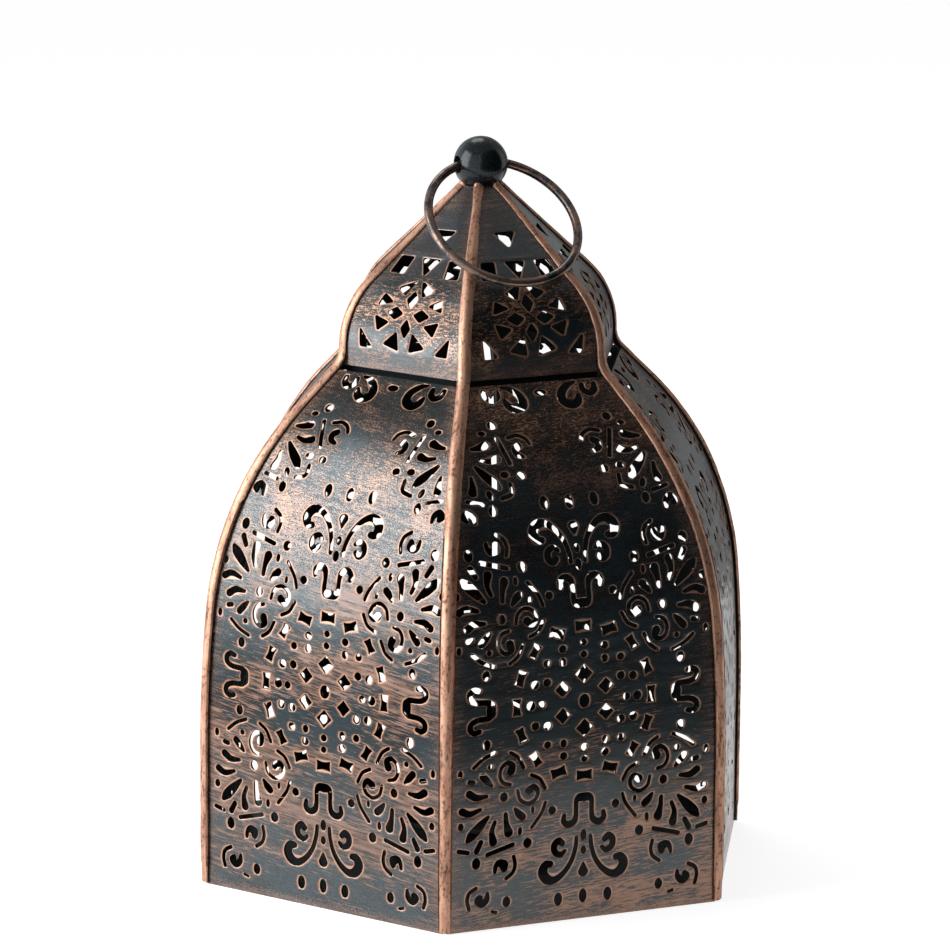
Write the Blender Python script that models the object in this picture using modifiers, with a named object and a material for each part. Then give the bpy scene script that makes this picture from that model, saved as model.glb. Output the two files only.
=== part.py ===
"""Iron lantern: six pierced walls, six pierced roof panels, corner ribs, a ball and a ring.

Metres, +Z up. The origin is the centre of the base, on the surface that the lantern stands on.
The front wall faces -Y and the door is the rear wall, facing +Y.
"""
import math

import bmesh
import bpy
import numpy as np
from mathutils import Matrix, Vector

MM = 0.001
SIDES = 6
HALF_SECTOR = math.pi / SIDES

# Sheet metal and the gaps that touching pieces keep.
SHEET = 0.8 * MM
SEAT_GAP = 0.3 * MM
SEAM_SETBACK = 0.75 * MM

# Wall: straight, then eased in, then rounded over to the neck. Radii are at the corners.
BODY_CORNER_RADIUS = 72.7 * MM
WALL_STRAIGHT = 36.0 * MM
EASE_RADIUS = 350.0 * MM
EASE_ANGLE = math.radians(5.2)
SHOULDER_RADIUS = 80.0 * MM
SHOULDER_ANGLE = math.radians(41.0)
SHOULDER_INSET = 34.1 * MM

# Roof: a straight lip, a bend and a straight slope up to the ball.
NECK_STEP = 2.0 * MM
NECK_GAP = 0.7 * MM
LIP_HEIGHT = 4.2 * MM
ROOF_BEND_RADIUS = 22.0 * MM
ROOF_SLOPE = math.radians(48.0)
APEX_CORNER_RADIUS = 5.4 * MM

# Corner ribs: half-round strip over each seam, with a thinner foot.
RIB_HALF_WIDTH = 1.8 * MM
RIB_CREST = 1.0 * MM
RIB_EDGE = 0.45 * MM
RIB_FOOT_CREST = 0.55 * MM
RIB_FOOT_HEIGHT = 4.2 * MM
RIB_FOOT_CLEARANCE = 0.4 * MM
RIB_STEP = 0.3 * MM
NECK_FILLET = 6.0 * MM

# Ball and ring.
BALL_RADIUS = 6.65 * MM
RING_RADIUS = 18.9 * MM
RING_WIRE_RADIUS = 1.1 * MM
BORE_CLEARANCE = 0.35 * MM

# Base plate and candle cup.
BASE_THICKNESS = 1.2 * MM
CUP_BORE_RADIUS = 20.5 * MM
CUP_HEIGHT = 10.0 * MM
CUP_WALL = 0.9 * MM
CUP_LIP = 1.6 * MM

# Door in the rear wall.
DOOR_CLEARANCE = 1.7 * MM
DOOR_SILL = 0.8 * MM
DOOR_HEADROOM = 0.8 * MM

# Hinges on the rear right rib.
KNUCKLE_RADIUS = 1.7 * MM
KNUCKLE_LENGTH = 5.0 * MM
PIN_RADIUS = 0.7 * MM
PIN_HEAD_RADIUS = 1.4 * MM
PIN_HEAD_HEIGHT = 1.0 * MM
HINGE_LOWER_HEIGHT = 8.0 * MM
HINGE_UPPER_HEIGHT = 40.0 * MM
LEAF_LENGTH = 10.0 * MM
LEAF_THICKNESS = 0.9 * MM

# Turn button on the rear left rib, and the door's knob.
LATCH_HEIGHT = 34.0 * MM
BUTTON_LENGTH = 10.0 * MM
BUTTON_HALF_WIDTH = 2.1 * MM
BUTTON_THICKNESS = 1.0 * MM
STUD_RADIUS = 1.1 * MM
STUD_HEAD_RADIUS = 2.0 * MM
STUD_HEAD_HEIGHT = 0.9 * MM
KNOB_RADIUS = 2.4 * MM
KNOB_STEM_RADIUS = 1.1 * MM
KNOB_STEM_LENGTH = 2.6 * MM
KNOB_HEIGHT = 44.5 * MM
KNOB_EDGE_DISTANCE = 3.0 * MM

# Piercings. A pattern unit is the wall's half width over this many units.
WALL_PATTERN_HALF_UNITS = 35.6
ROOF_PATTERN_HALF_UNITS = 17.55
MEDALLION_HEIGHT = 53.8 * MM
HOLE_MARGIN = 1.0 * MM
HOLE_WEB = 0.45 * MM

EASE_STEPS = 1
SHOULDER_STEPS = 5
ROOF_BEND_STEPS = 4
NECK_STEPS = 3
RING_SEGMENTS = 40
WIRE_SEGMENTS = 8
BALL_SEGMENTS = 20
ROUND_SEGMENTS = 12
CUP_SEGMENTS = 28

IRON = ("iron", (0.045, 0.045, 0.05), 0.42, 0.9)
COPPER = ("rubbed_copper", (0.36, 0.17, 0.10), 0.38, 1.0)
DARK = ("dark_iron", (0.03, 0.028, 0.028), 0.45, 0.9)


def clear_scene():
    for item in list(bpy.data.objects):
        bpy.data.objects.remove(item, do_unlink=True)


def collection(name):
    made = bpy.data.collections.new(name)
    bpy.context.scene.collection.children.link(made)
    return made


def material(owner, finish):
    label, colour, roughness, metallic = finish
    made = bpy.data.materials.new(owner + "_" + label)
    made.use_nodes = True
    shader = made.node_tree.nodes["Principled BSDF"]
    shader.inputs["Base Color"].default_value = (*colour, 1.0)
    shader.inputs["Roughness"].default_value = roughness
    shader.inputs["Metallic"].default_value = metallic
    made.diffuse_color = (*colour, 1.0)
    return made


# Lines in the plane of a corner: (corner radius, height), from the base up.


def follow(start, heading, moves):
    """Walk a line from start. Heading is the lean inwards from upright; moves are runs and arcs."""
    line = [Vector(start)]
    for move in moves:
        here = line[-1]
        if move[0] == "run":
            step = Vector((-math.sin(heading), math.cos(heading)))
            line.append(here + step * move[1])
            continue
        radius, turn, steps = move[1:]
        side = 1.0 if turn > 0 else -1.0
        centre = here - side * radius * Vector((math.cos(heading), math.sin(heading)))
        for k in range(1, steps + 1):
            lean = heading + turn * k / steps
            line.append(centre + side * radius * Vector((math.cos(lean), math.sin(lean))))
        heading += turn
    return line


NECK_HEADING = EASE_ANGLE + SHOULDER_ANGLE


def wall_moves(last_radius):
    """The wall's moves from its foot to the given corner radius on the slope below the neck."""
    ease_inset = EASE_RADIUS * (1.0 - math.cos(EASE_ANGLE))
    room = SHOULDER_INSET - ease_inset
    reach = math.cos(EASE_ANGLE) - math.cos(NECK_HEADING)
    radius = min(SHOULDER_RADIUS, 0.9 * room / reach)
    slope_start = BODY_CORNER_RADIUS - ease_inset - radius * reach
    return [
        ("run", WALL_STRAIGHT),
        ("arc", EASE_RADIUS, EASE_ANGLE, EASE_STEPS),
        ("arc", radius, SHOULDER_ANGLE, SHOULDER_STEPS),
        ("run", (slope_start - last_radius) / math.sin(NECK_HEADING)),
    ]


def wall_line():
    top_radius = BODY_CORNER_RADIUS - SHOULDER_INSET
    return follow((BODY_CORNER_RADIUS, 0.0), 0.0, wall_moves(top_radius))


LIP_RADIUS = BODY_CORNER_RADIUS - SHOULDER_INSET - NECK_STEP
ROOF_FOOT = wall_line()[-1].y + NECK_GAP


def roof_line():
    radius = min(ROOF_BEND_RADIUS, 0.9 * (LIP_RADIUS - APEX_CORNER_RADIUS) / (1.0 - math.cos(ROOF_SLOPE)))
    slope_start = LIP_RADIUS - radius * (1.0 - math.cos(ROOF_SLOPE))
    return follow((LIP_RADIUS, ROOF_FOOT), 0.0, [
        ("run", LIP_HEIGHT),
        ("arc", radius, ROOF_SLOPE, ROOF_BEND_STEPS),
        ("run", (slope_start - APEX_CORNER_RADIUS) / math.sin(ROOF_SLOPE)),
    ])


def rib_line():
    """The corner line that a rib follows: wall, a small concave bend at the neck, then the roof."""
    roof = roof_line()
    moves = wall_moves(LIP_RADIUS)
    corner = follow((BODY_CORNER_RADIUS, 0.0), 0.0, moves)[-1]
    lip_top = roof[1].y
    tangent = NECK_FILLET * math.tan(NECK_HEADING / 2.0)
    tangent = min(tangent, 0.85 * (lip_top - corner.y), 0.85 * moves[-1][1])
    fillet = tangent / math.tan(NECK_HEADING / 2.0)
    moves[-1] = ("run", moves[-1][1] - tangent)
    moves.append(("arc", fillet, -NECK_HEADING, NECK_STEPS))
    return follow((BODY_CORNER_RADIUS, 0.0), 0.0, moves) + roof[1:]


APEX_HEIGHT = roof_line()[-1].y
BALL_HEIGHT = APEX_HEIGHT + math.sqrt(
    (BALL_RADIUS + SEAT_GAP) ** 2 - (APEX_CORNER_RADIUS * math.cos(HALF_SECTOR)) ** 2)


# Flat patterns. x runs across the panel and y is the length along its middle line.


def stations(line):
    """(length along the panel's middle, outward distance, height, corner radius) at each bend."""
    found = []
    length = 0.0
    for k, point in enumerate(line):
        apothem = point.x * math.cos(HALF_SECTOR)
        if k:
            length += math.hypot(apothem - found[-1][1], point.y - found[-1][2])
        found.append((length, apothem, point.y, point.x))
    return found


def half_width(bends, length, setback):
    lengths = [bend[0] for bend in bends]
    radii = [bend[3] for bend in bends]
    return float(np.interp(length, lengths, radii)) / 2.0 - setback


def blade(points, widths):
    """A closed outline round a line of points, with a half width at each point."""
    spots = [Vector(point) for point in points]
    left = []
    right = []
    for k, spot in enumerate(spots):
        ahead = spots[min(k + 1, len(spots) - 1)] - spots[max(k - 1, 0)]
        normal = Vector((-ahead.y, ahead.x)).normalized() * widths[k]
        left.append(spot + normal)
        right.append(spot - normal)
    return left + right[::-1]


def oval(x, y, rx, ry, count=4):
    turns = [math.tau * k / count for k in range(count)]
    return [Vector((x + rx * math.cos(turn), y + ry * math.sin(turn))) for turn in turns]


def kite(tip, end, width):
    """A petal with two pointed ends and its widest place two thirds of the way along."""
    tip = Vector(tip)
    end = Vector(end)
    along = end - tip
    across = Vector((-along.y, along.x)).normalized() * width
    waist = tip + along * 0.68
    return [tip, waist + across, end, waist - across]


def slot(start, end, half):
    """A straight cut with square ends."""
    return blade([start, end], [half, half])


def flip(outline, across, along):
    return [Vector((point.x * across, point.y * along)) for point in outline]


def medallion():
    """The wall's main ornament about its centre, in pattern units. It mirrors both ways."""
    quarter = [
        # the corner's fan of petals
        kite((24.8, 25.6), (31.0, 31.9), 1.5),
        kite((20.8, 25.2), (19.6, 31.6), 1.3),
        kite((23.3, 27.0), (24.1, 33.4), 1.15),
        kite((26.8, 24.1), (33.0, 24.2), 1.1),
        kite((25.2, 21.2), (31.2, 19.8), 1.2),
        kite((24.0, 18.7), (27.4, 15.4), 1.2),
        kite((18.5, 24.5), (15.4, 27.6), 1.2),
        slot((18.6, 33.5), (25.3, 35.3), 0.5),
        # the butterfly of two commas
        blade([(1.9, 33.4), (2.9, 38.9), (6.9, 43.2), (10.5, 42.0), (8.8, 39.4)],
              [0.5, 0.6, 0.9, 1.4, 0.8]),
        blade([(5.2, 36.9), (7.9, 35.8), (5.5, 34.3)], [0.5, 0.75, 0.8]),
        # the commas beside it and in the corners
        blade([(20.9, 39.3), (21.5, 37.7), (23.3, 39.5)], [0.8, 0.95, 0.45]),
        blade([(25.2, 44.9), (26.2, 47.0), (27.5, 45.6)], [0.45, 0.85, 0.8]),
        # the two spirals
        blade([(19.3, 15.8), (20.3, 13.4), (22.2, 16.0)], [1.0, 0.65, 0.45]),
        blade([(14.8, 20.5), (12.3, 21.3), (14.9, 23.7)], [1.0, 0.65, 0.45]),
        # the ring of bobbins round the lattice of diamonds
        slot((6.3, 14.9), (7.3, 18.9), 1.1),
        slot((13.7, 11.4), (11.8, 14.8), 0.95),
        slot((17.3, 5.0), (15.8, 8.8), 1.0),
        oval(5.6, 3.2, 2.2, 2.2),
        oval(6.5, 48.4, 1.2, 1.8),
    ]
    found = [flip(motif, a, b) for motif in quarter for a in (-1, 1) for b in (-1, 1)]
    arch = [(-5.3, 28.2), (-4.6, 30.0), (-2.2, 29.4), (-2.0, 24.2), (2.0, 24.2), (2.2, 29.4),
            (4.6, 30.0), (5.3, 28.2)]
    found += [flip(blade(arch, [0.6, 0.8, 0.7, 0.9, 0.9, 0.7, 0.8, 0.6]), 1, b) for b in (-1, 1)]
    side = [(28.0, -5.1), (29.8, -4.0), (29.0, -2.3), (24.6, -1.9), (24.6, 1.9), (29.0, 2.3),
            (29.8, 4.0), (28.0, 5.1)]
    found += [flip(blade(side, [0.6, 0.7, 0.7, 0.9, 0.9, 0.7, 0.7, 0.6]), a, 1) for a in (-1, 1)]
    found += [slot((17.7 * a, -2.2), (17.7 * a, 2.2), 1.0) for a in (-1, 1)]
    found.append(oval(0.0, 0.0, 1.5, 1.8))
    for b in (-1, 1):
        found.append(oval(0.0, 6.6 * b, 2.5, 2.5))
        found.append(slot((-2.2, 18.2 * b), (2.2, 18.2 * b), 1.15))
        found.append(kite((0.0, 39.4 * b), (0.0, 43.4 * b), 1.4))
        found.append(oval(0.0, 48.2 * b, 1.1, 1.9))
    return found


def shoulder_fans():
    """Petals and commas by the ribs where the wall leans in, above the medallion's centre."""
    fan = [
        kite((22.6, 59.0), (16.8, 52.2), 1.4),
        kite((22.3, 63.3), (17.2, 64.3), 1.1),
        kite((20.8, 60.4), (15.2, 60.2), 1.1),
        kite((24.0, 56.4), (24.4, 51.2), 1.1),
        slot((14.9, 65.5), (13.1, 58.8), 0.55),
        blade([(9.8, 63.2), (11.0, 61.8), (9.3, 60.4)], [0.85, 0.75, 0.5]),
    ]
    return [flip(motif, a, 1) for motif in fan for a in (-1, 1)]


def neck_scrolls():
    """Scrolls under the wall's top edge, measured down from that edge."""
    scrolls = [
        blade([(9.4, -2.0), (5.6, -4.2), (6.6, -7.7), (9.6, -6.0)], [0.5, 1.0, 1.25, 0.7]),
        blade([(14.5, -2.8), (12.9, -5.1), (11.3, -2.8)], [0.65, 0.8, 0.65]),
    ]
    return [flip(scroll, a, 1) for scroll in scrolls for a in (-1, 1)]


def roof_piercings():
    """The roof's ornament above its lower edge, in pattern units."""
    centre = 14.3
    half = [
        [(-8.7, 30.0), (-5.4, 30.0), (-6.2, 25.1), (-9.8, 25.2)],
        [(-5.0, 20.9), (-0.9, 23.2), (-2.5, 19.2)],
        [(-8.3, 18.8), (-5.4, 17.0), (-9.3, 15.9)],
        [(-9.3, 13.0), (-5.4, 11.8), (-8.2, 9.7)],
        [(-2.4, 9.6), (-5.9, 6.5), (-1.7, 5.3)],
        [(-13.2, 9.4), (-9.6, 5.3), (-12.8, 5.2)],
        [(-6.1, centre), (-3.7, centre + 1.4), (-1.7, centre), (-3.7, centre - 1.5)],
    ]
    middle = [
        [(-2.6, 38.4), (2.5, 38.6), (0.0, 34.4)],
        [(-2.4, 30.0), (2.4, 30.0), (0.0, 25.3)],
        [(0.0, centre + 1.6), (1.4, centre + 3.8), (0.0, centre + 6.0), (-1.4, centre + 3.8)],
        [(0.0, centre - 1.4), (1.3, centre - 3.5), (0.0, centre - 5.8), (-1.3, centre - 3.5)],
    ]
    outlines = [[Vector(point) for point in shape] for shape in half + middle]
    return outlines + [flip(shape, -1, 1) for shape in outlines[:len(half)]]


def clearance(first, second):
    """Least distance between two closed outlines, from corners to edges both ways."""
    best = math.inf
    for one, other in ((first, second), (second, first)):
        a = np.array([tuple(point) for point in other])
        b = np.roll(a, -1, axis=0)
        for point in one:
            p = np.array(tuple(point))
            share = ((p - a) * (b - a)).sum(1) / np.maximum(((b - a) ** 2).sum(1), 1e-18)
            nearest = a + np.clip(share, 0.0, 1.0)[:, None] * (b - a)
            best = min(best, float(np.sqrt(((p - nearest) ** 2).sum(1)).min()))
    return best


def fitting(outlines, bends, setback, low, high):
    """The holes that keep a margin to the panel's edges and a web to the holes before them."""
    kept = []
    for outline in outlines:
        inside = all(
            low + HOLE_MARGIN < point.y < high - HOLE_MARGIN
            and abs(point.x) < half_width(bends, point.y, setback) - HOLE_MARGIN
            for point in outline)
        if inside and all(clearance(outline, other) > HOLE_WEB for other in kept):
            kept.append(outline)
    return kept


def wall_piercings(bends, setback, low, high):
    unit = half_width(bends, 0.0, SEAM_SETBACK) / WALL_PATTERN_HALF_UNITS
    top = bends[-1][0]
    outlines = [[point * unit + Vector((0.0, top)) for point in shape] for shape in neck_scrolls()]
    for shape in medallion() + shoulder_fans():
        outlines.append([point * unit + Vector((0.0, MEDALLION_HEIGHT)) for point in shape])
    return fitting(outlines, bends, setback, low, high)


# Objects.


def link(obj, finish, home, parent=None):
    home.objects.link(obj)
    if finish:
        obj.data.materials.clear()
        obj.data.materials.append(material(obj.name, finish))
    if parent:
        obj.parent = parent
    return obj


def outline_mesh(name, outlines, thickness):
    """A flat plate from a 2D curve: the first outline is its edge and the others are holes."""
    curve = bpy.data.curves.new(name + "_outline", "CURVE")
    curve.dimensions = "2D"
    curve.fill_mode = "BOTH"
    curve.extrude = thickness / 2.0
    for outline in outlines:
        spline = curve.splines.new("POLY")
        spline.points.add(len(outline) - 1)
        spline.use_cyclic_u = True
        for spot, point in zip(spline.points, outline):
            spot.co = (point[0], point[1], 0.0, 1.0)
    holder = bpy.data.objects.new(name + "_outline", curve)
    bpy.context.scene.collection.objects.link(holder)
    view = bpy.context.evaluated_depsgraph_get()
    mesh = bpy.data.meshes.new_from_object(holder.evaluated_get(view))
    mesh.name = name
    bpy.data.objects.remove(holder, do_unlink=True)
    bpy.data.curves.remove(curve)
    work = bmesh.new()
    work.from_mesh(mesh)
    bmesh.ops.remove_doubles(work, verts=work.verts, dist=0.002 * MM)
    bmesh.ops.recalc_face_normals(work, faces=work.faces)
    work.to_mesh(mesh)
    work.free()
    return mesh


def bend_panel(name, bends, outlines):
    """Cut a flat panel at its bend lines and fold it; it faces -Y with its middle on x = 0."""
    mesh = outline_mesh(name, outlines, SHEET)
    work = bmesh.new()
    work.from_mesh(mesh)
    for bend in bends[1:-1]:
        everything = work.verts[:] + work.edges[:] + work.faces[:]
        bmesh.ops.bisect_plane(work, geom=everything, dist=0.001 * MM,
                               plane_co=(0.0, bend[0], 0.0), plane_no=(0.0, 1.0, 0.0))
    spots = [Vector((bend[1], bend[2])) for bend in bends]
    normals = []
    for a, b in zip(spots, spots[1:]):
        along = (b - a).normalized()
        normals.append(Vector((along.y, -along.x)))
    mitres = [normals[0]]
    for a, b in zip(normals, normals[1:]):
        mitres.append((a + b) / (1.0 + a.dot(b)))
    mitres.append(normals[-1])
    lengths = [bend[0] for bend in bends]
    for vert in work.verts:
        x, length, lift = vert.co
        k = int(np.clip(np.searchsorted(lengths, length) - 1, 0, len(spots) - 2))
        share = (length - lengths[k]) / (lengths[k + 1] - lengths[k])
        inset = lift - SHEET / 2.0
        spot = spots[k].lerp(spots[k + 1], share) + mitres[k].lerp(mitres[k + 1], share) * inset
        vert.co = (x, -spot.x, spot.y)
    bmesh.ops.recalc_face_normals(work, faces=work.faces)
    work.to_mesh(mesh)
    work.free()
    return mesh


def panel_edge(bends, setback, low, high):
    lengths = [low] + [bend[0] for bend in bends if low < bend[0] < high] + [high]
    right = [Vector((half_width(bends, length, setback), length)) for length in lengths]
    return right + [Vector((-point.x, point.y)) for point in reversed(right)]


def rib_section(lean, crest):
    """Half-round section over the seam: (across, outwards), with a V below that clears the panels."""
    fall = math.tan(HALF_SECTOR) * math.cos(lean)
    gap = SEAT_GAP * math.sqrt(1.0 + fall * fall)
    under = gap - fall * RIB_HALF_WIDTH
    edge = under + min(RIB_EDGE, crest)
    mid = edge + (crest - edge) * 0.8
    return [(-RIB_HALF_WIDTH, under), (-RIB_HALF_WIDTH, edge), (-0.6 * RIB_HALF_WIDTH, mid),
            (0.0, crest), (0.6 * RIB_HALF_WIDTH, mid), (RIB_HALF_WIDTH, edge),
            (RIB_HALF_WIDTH, under), (0.0, gap)]


def rib_path():
    """Points, leans and crests along a rib, in the plane of its corner."""
    line = rib_line()
    foot = [RIB_FOOT_CLEARANCE, RIB_FOOT_HEIGHT, RIB_FOOT_HEIGHT + RIB_STEP]
    path = [Vector((line[0].x, height)) for height in foot] + line[1:]
    crests = [RIB_FOOT_CREST, RIB_FOOT_CREST] + [RIB_CREST] * (len(path) - 2)
    leans = []
    for k in range(len(path)):
        ahead = path[min(k + 1, len(path) - 1)] - path[max(k - 1, 0)]
        leans.append(math.atan2(-ahead.x, ahead.y))
    for k in range(3):
        leans[k] = 0.0
    leans[-1] = ROOF_SLOPE
    return path, leans, crests


def rib_mesh(name):
    """Loft along the corner on +X; the section's V grows flatter as the corner leans."""
    work = bmesh.new()
    rings = []
    for spot, lean, crest in zip(*rib_path()):
        ring = []
        for across, out in rib_section(lean, crest):
            place = (spot.x + out * math.cos(lean), across, spot.y + out * math.sin(lean))
            ring.append(work.verts.new(place))
        rings.append(ring)
    for low, high in zip(rings, rings[1:]):
        for k in range(len(low)):
            n = (k + 1) % len(low)
            work.faces.new((low[k], low[n], high[n], high[k]))
    work.faces.new(rings[0][::-1])
    work.faces.new(rings[-1])
    bmesh.ops.recalc_face_normals(work, faces=work.faces)
    mesh = bpy.data.meshes.new(name)
    work.to_mesh(mesh)
    work.free()
    return mesh


def turned(name, profile, segments):
    """A turned solid about Z. The profile runs from the axis, down the outside, to the axis."""
    mesh = bpy.data.meshes.new(name)
    spots = [(radius, 0.0, height) for radius, height in profile]
    mesh.from_pydata(spots, [(k, k + 1) for k in range(len(spots) - 1)], [])
    obj = bpy.data.objects.new(name, mesh)
    screw = obj.modifiers.new("Turn", "SCREW")
    screw.axis = "Z"
    screw.steps = segments
    screw.render_steps = segments
    screw.use_merge_vertices = True
    screw.merge_threshold = 0.01 * MM
    screw.use_smooth_shade = True
    return obj


def around(points, angle):
    turn = Matrix.Rotation(angle, 3, "Z")
    return [turn @ Vector(point) for point in points]


def rib_rise():
    """How far a rib stands out past the plane of the wall beside it."""
    wall = BODY_CORNER_RADIUS * math.cos(HALF_SECTOR)
    normal = Vector((math.cos(HALF_SECTOR), math.sin(HALF_SECTOR)))
    section = rib_section(0.0, RIB_CREST)
    return max(Vector((BODY_CORNER_RADIUS + out, across)).dot(normal) - wall for across, out in section)


def ring_lean(rib_points):
    """The lean at which the ring's wire comes to rest on the ribs, found by halving."""
    turns = np.linspace(0.0, math.tau, 241)
    across = RING_RADIUS * np.sin(turns)
    drop = ring_drop() - RING_RADIUS * np.cos(turns)
    low, high = math.radians(5.0), math.radians(85.0)
    for _ in range(40):
        lean = (low + high) / 2.0
        wire = np.stack([across, -drop * math.sin(lean), BALL_HEIGHT - drop * math.cos(lean)], 1)
        away = np.sqrt(((wire[:, None, :] - rib_points[None, :, :]) ** 2).sum(2)).min()
        if away < RING_WIRE_RADIUS + SEAT_GAP:
            low = lean
        else:
            high = lean
    return high


def ring_sag():
    """How far the wire's arc bends away from straight inside the ball."""
    return RING_RADIUS - math.sqrt(RING_RADIUS ** 2 - BALL_RADIUS ** 2)


def ring_drop():
    """Distance from the bore's axis to the ring's centre; the arc is centred on the bore."""
    return RING_RADIUS - ring_sag() / 2.0


def bore_radius():
    return (RING_WIRE_RADIUS + ring_sag() / 2.0 + BORE_CLEARANCE) / math.cos(math.pi / ROUND_SEGMENTS)


def rib_samples():
    """Points on the outer face of the two front ribs above the neck, for seating the ring."""
    path, leans, crests = rib_path()
    points = []
    for k in range(len(path) - 1):
        if path[k].y < ROOF_FOOT:
            continue
        for share in np.linspace(0.0, 1.0, 25):
            spot = path[k].lerp(path[k + 1], share)
            lean = leans[k] + (leans[k + 1] - leans[k]) * share
            for across in np.linspace(-0.6, 0.6, 5) * RIB_HALF_WIDTH:
                out = crests[k] * (1.0 - 0.25 * (across / (0.6 * RIB_HALF_WIDTH)) ** 2)
                points.append((spot.x + out * math.cos(lean), across, spot.y + out * math.sin(lean)))
    both = around(points, math.radians(-60.0)) + around(points, math.radians(-120.0))
    return np.array([tuple(point) for point in both])


def make_walls(home):
    bends = stations(wall_line())
    top = bends[-1][0]
    outlines = [panel_edge(bends, SEAM_SETBACK, 0.0, top)]
    outlines += wall_piercings(bends, SEAM_SETBACK, 0.0, top)
    mesh = bend_panel("wall_panel", bends, outlines)
    names = ("wall_front", "wall_front_right", "wall_rear_right", None, "wall_rear_left",
             "wall_front_left")
    for k, name in enumerate(names):
        if name is None:
            continue
        wall = bpy.data.objects.new(name, mesh.copy())
        wall.rotation_euler.z = k * 2.0 * HALF_SECTOR
        link(wall, IRON, home)
    bpy.data.meshes.remove(mesh)


def make_roof(home):
    bends = stations(roof_line())
    top = bends[-1][0]
    unit = half_width(bends, 0.0, SEAM_SETBACK) / ROOF_PATTERN_HALF_UNITS
    shapes = [[point * unit for point in shape] for shape in roof_piercings()]
    outlines = [panel_edge(bends, SEAM_SETBACK, 0.0, top)]
    outlines += fitting(shapes, bends, SEAM_SETBACK, 0.0, top)
    mesh = bend_panel("roof_panel", bends, outlines)
    names = ("roof_front", "roof_front_right", "roof_rear_right", "roof_rear", "roof_rear_left",
             "roof_front_left")
    for k, name in enumerate(names):
        roof = bpy.data.objects.new(name, mesh.copy())
        roof.rotation_euler.z = k * 2.0 * HALF_SECTOR
        link(roof, IRON, home)
    bpy.data.meshes.remove(mesh)


def make_ribs(home):
    mesh = rib_mesh("corner_rib")
    names = ("rib_right", "rib_rear_right", "rib_rear_left", "rib_left", "rib_front_left",
             "rib_front_right")
    for k, name in enumerate(names):
        rib = bpy.data.objects.new(name, mesh.copy())
        rib.rotation_euler.z = k * 2.0 * HALF_SECTOR
        link(rib, COPPER, home)
    bpy.data.meshes.remove(mesh)


def make_base(home):
    apothem = BODY_CORNER_RADIUS * math.cos(HALF_SECTOR) - SHEET - SEAT_GAP
    bpy.ops.mesh.primitive_cylinder_add(vertices=SIDES, radius=apothem / math.cos(HALF_SECTOR),
                                        depth=BASE_THICKNESS)
    plate = bpy.context.object
    plate.name = "base_plate"
    plate.data.transform(Matrix.Rotation(HALF_SECTOR, 4, "Z"))
    plate.location.z = BASE_THICKNESS / 2.0
    for owner in list(plate.users_collection):
        owner.objects.unlink(plate)
    link(plate, DARK, home)

    foot = BASE_THICKNESS + SEAT_GAP
    inner = CUP_BORE_RADIUS
    outer = inner + CUP_WALL
    rim = foot + CUP_HEIGHT
    cup = turned("candle_cup", [
        (0.0, foot + CUP_WALL), (inner, foot + CUP_WALL), (inner, rim), (outer + CUP_LIP, rim),
        (outer + CUP_LIP, rim - CUP_WALL), (outer, rim - CUP_WALL), (outer, foot), (0.0, foot)],
        CUP_SEGMENTS)
    link(cup, DARK, home)


def make_ball(home, cutters):
    bpy.ops.mesh.primitive_uv_sphere_add(segments=BALL_SEGMENTS, ring_count=BALL_SEGMENTS // 2,
                                         radius=BALL_RADIUS)
    ball = bpy.context.object
    ball.name = "finial_ball"
    ball.location.z = BALL_HEIGHT
    ball.data.shade_smooth()
    for owner in list(ball.users_collection):
        owner.objects.unlink(ball)
    link(ball, DARK, home)

    bpy.ops.mesh.primitive_cylinder_add(vertices=ROUND_SEGMENTS, radius=bore_radius(),
                                        depth=BALL_RADIUS * 3.0)
    drill = bpy.context.object
    drill.name = "ball_bore_cutter"
    drill.location.z = BALL_HEIGHT
    drill.rotation_euler.y = math.pi / 2.0
    drill.hide_render = True
    drill.display_type = "WIRE"
    for owner in list(drill.users_collection):
        owner.objects.unlink(drill)
    link(drill, None, cutters)
    bore = ball.modifiers.new("Bore", "BOOLEAN")
    bore.operation = "DIFFERENCE"
    bore.object = drill


def make_ring(home):
    bpy.ops.mesh.primitive_torus_add(major_segments=RING_SEGMENTS, minor_segments=WIRE_SEGMENTS,
                                     major_radius=RING_RADIUS, minor_radius=RING_WIRE_RADIUS)
    ring = bpy.context.object
    ring.name = "ring_handle"
    ring.data.transform(Matrix.Translation((0.0, 0.0, -ring_drop())) @ Matrix.Rotation(math.pi / 2, 4, "X"))
    ring.data.shade_smooth()
    ring.location.z = BALL_HEIGHT
    ring.rotation_euler.x = -ring_lean(rib_samples())
    for owner in list(ring.users_collection):
        owner.objects.unlink(ring)
    link(ring, DARK, home)


def hinge_axis():
    """The hinges' upright axis, just outside the rear right rib."""
    away = BODY_CORNER_RADIUS + RIB_CREST + SEAT_GAP + KNUCKLE_RADIUS
    return Vector((away * math.cos(2.0 * HALF_SECTOR), away * math.sin(2.0 * HALF_SECTOR), 0.0))


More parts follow.
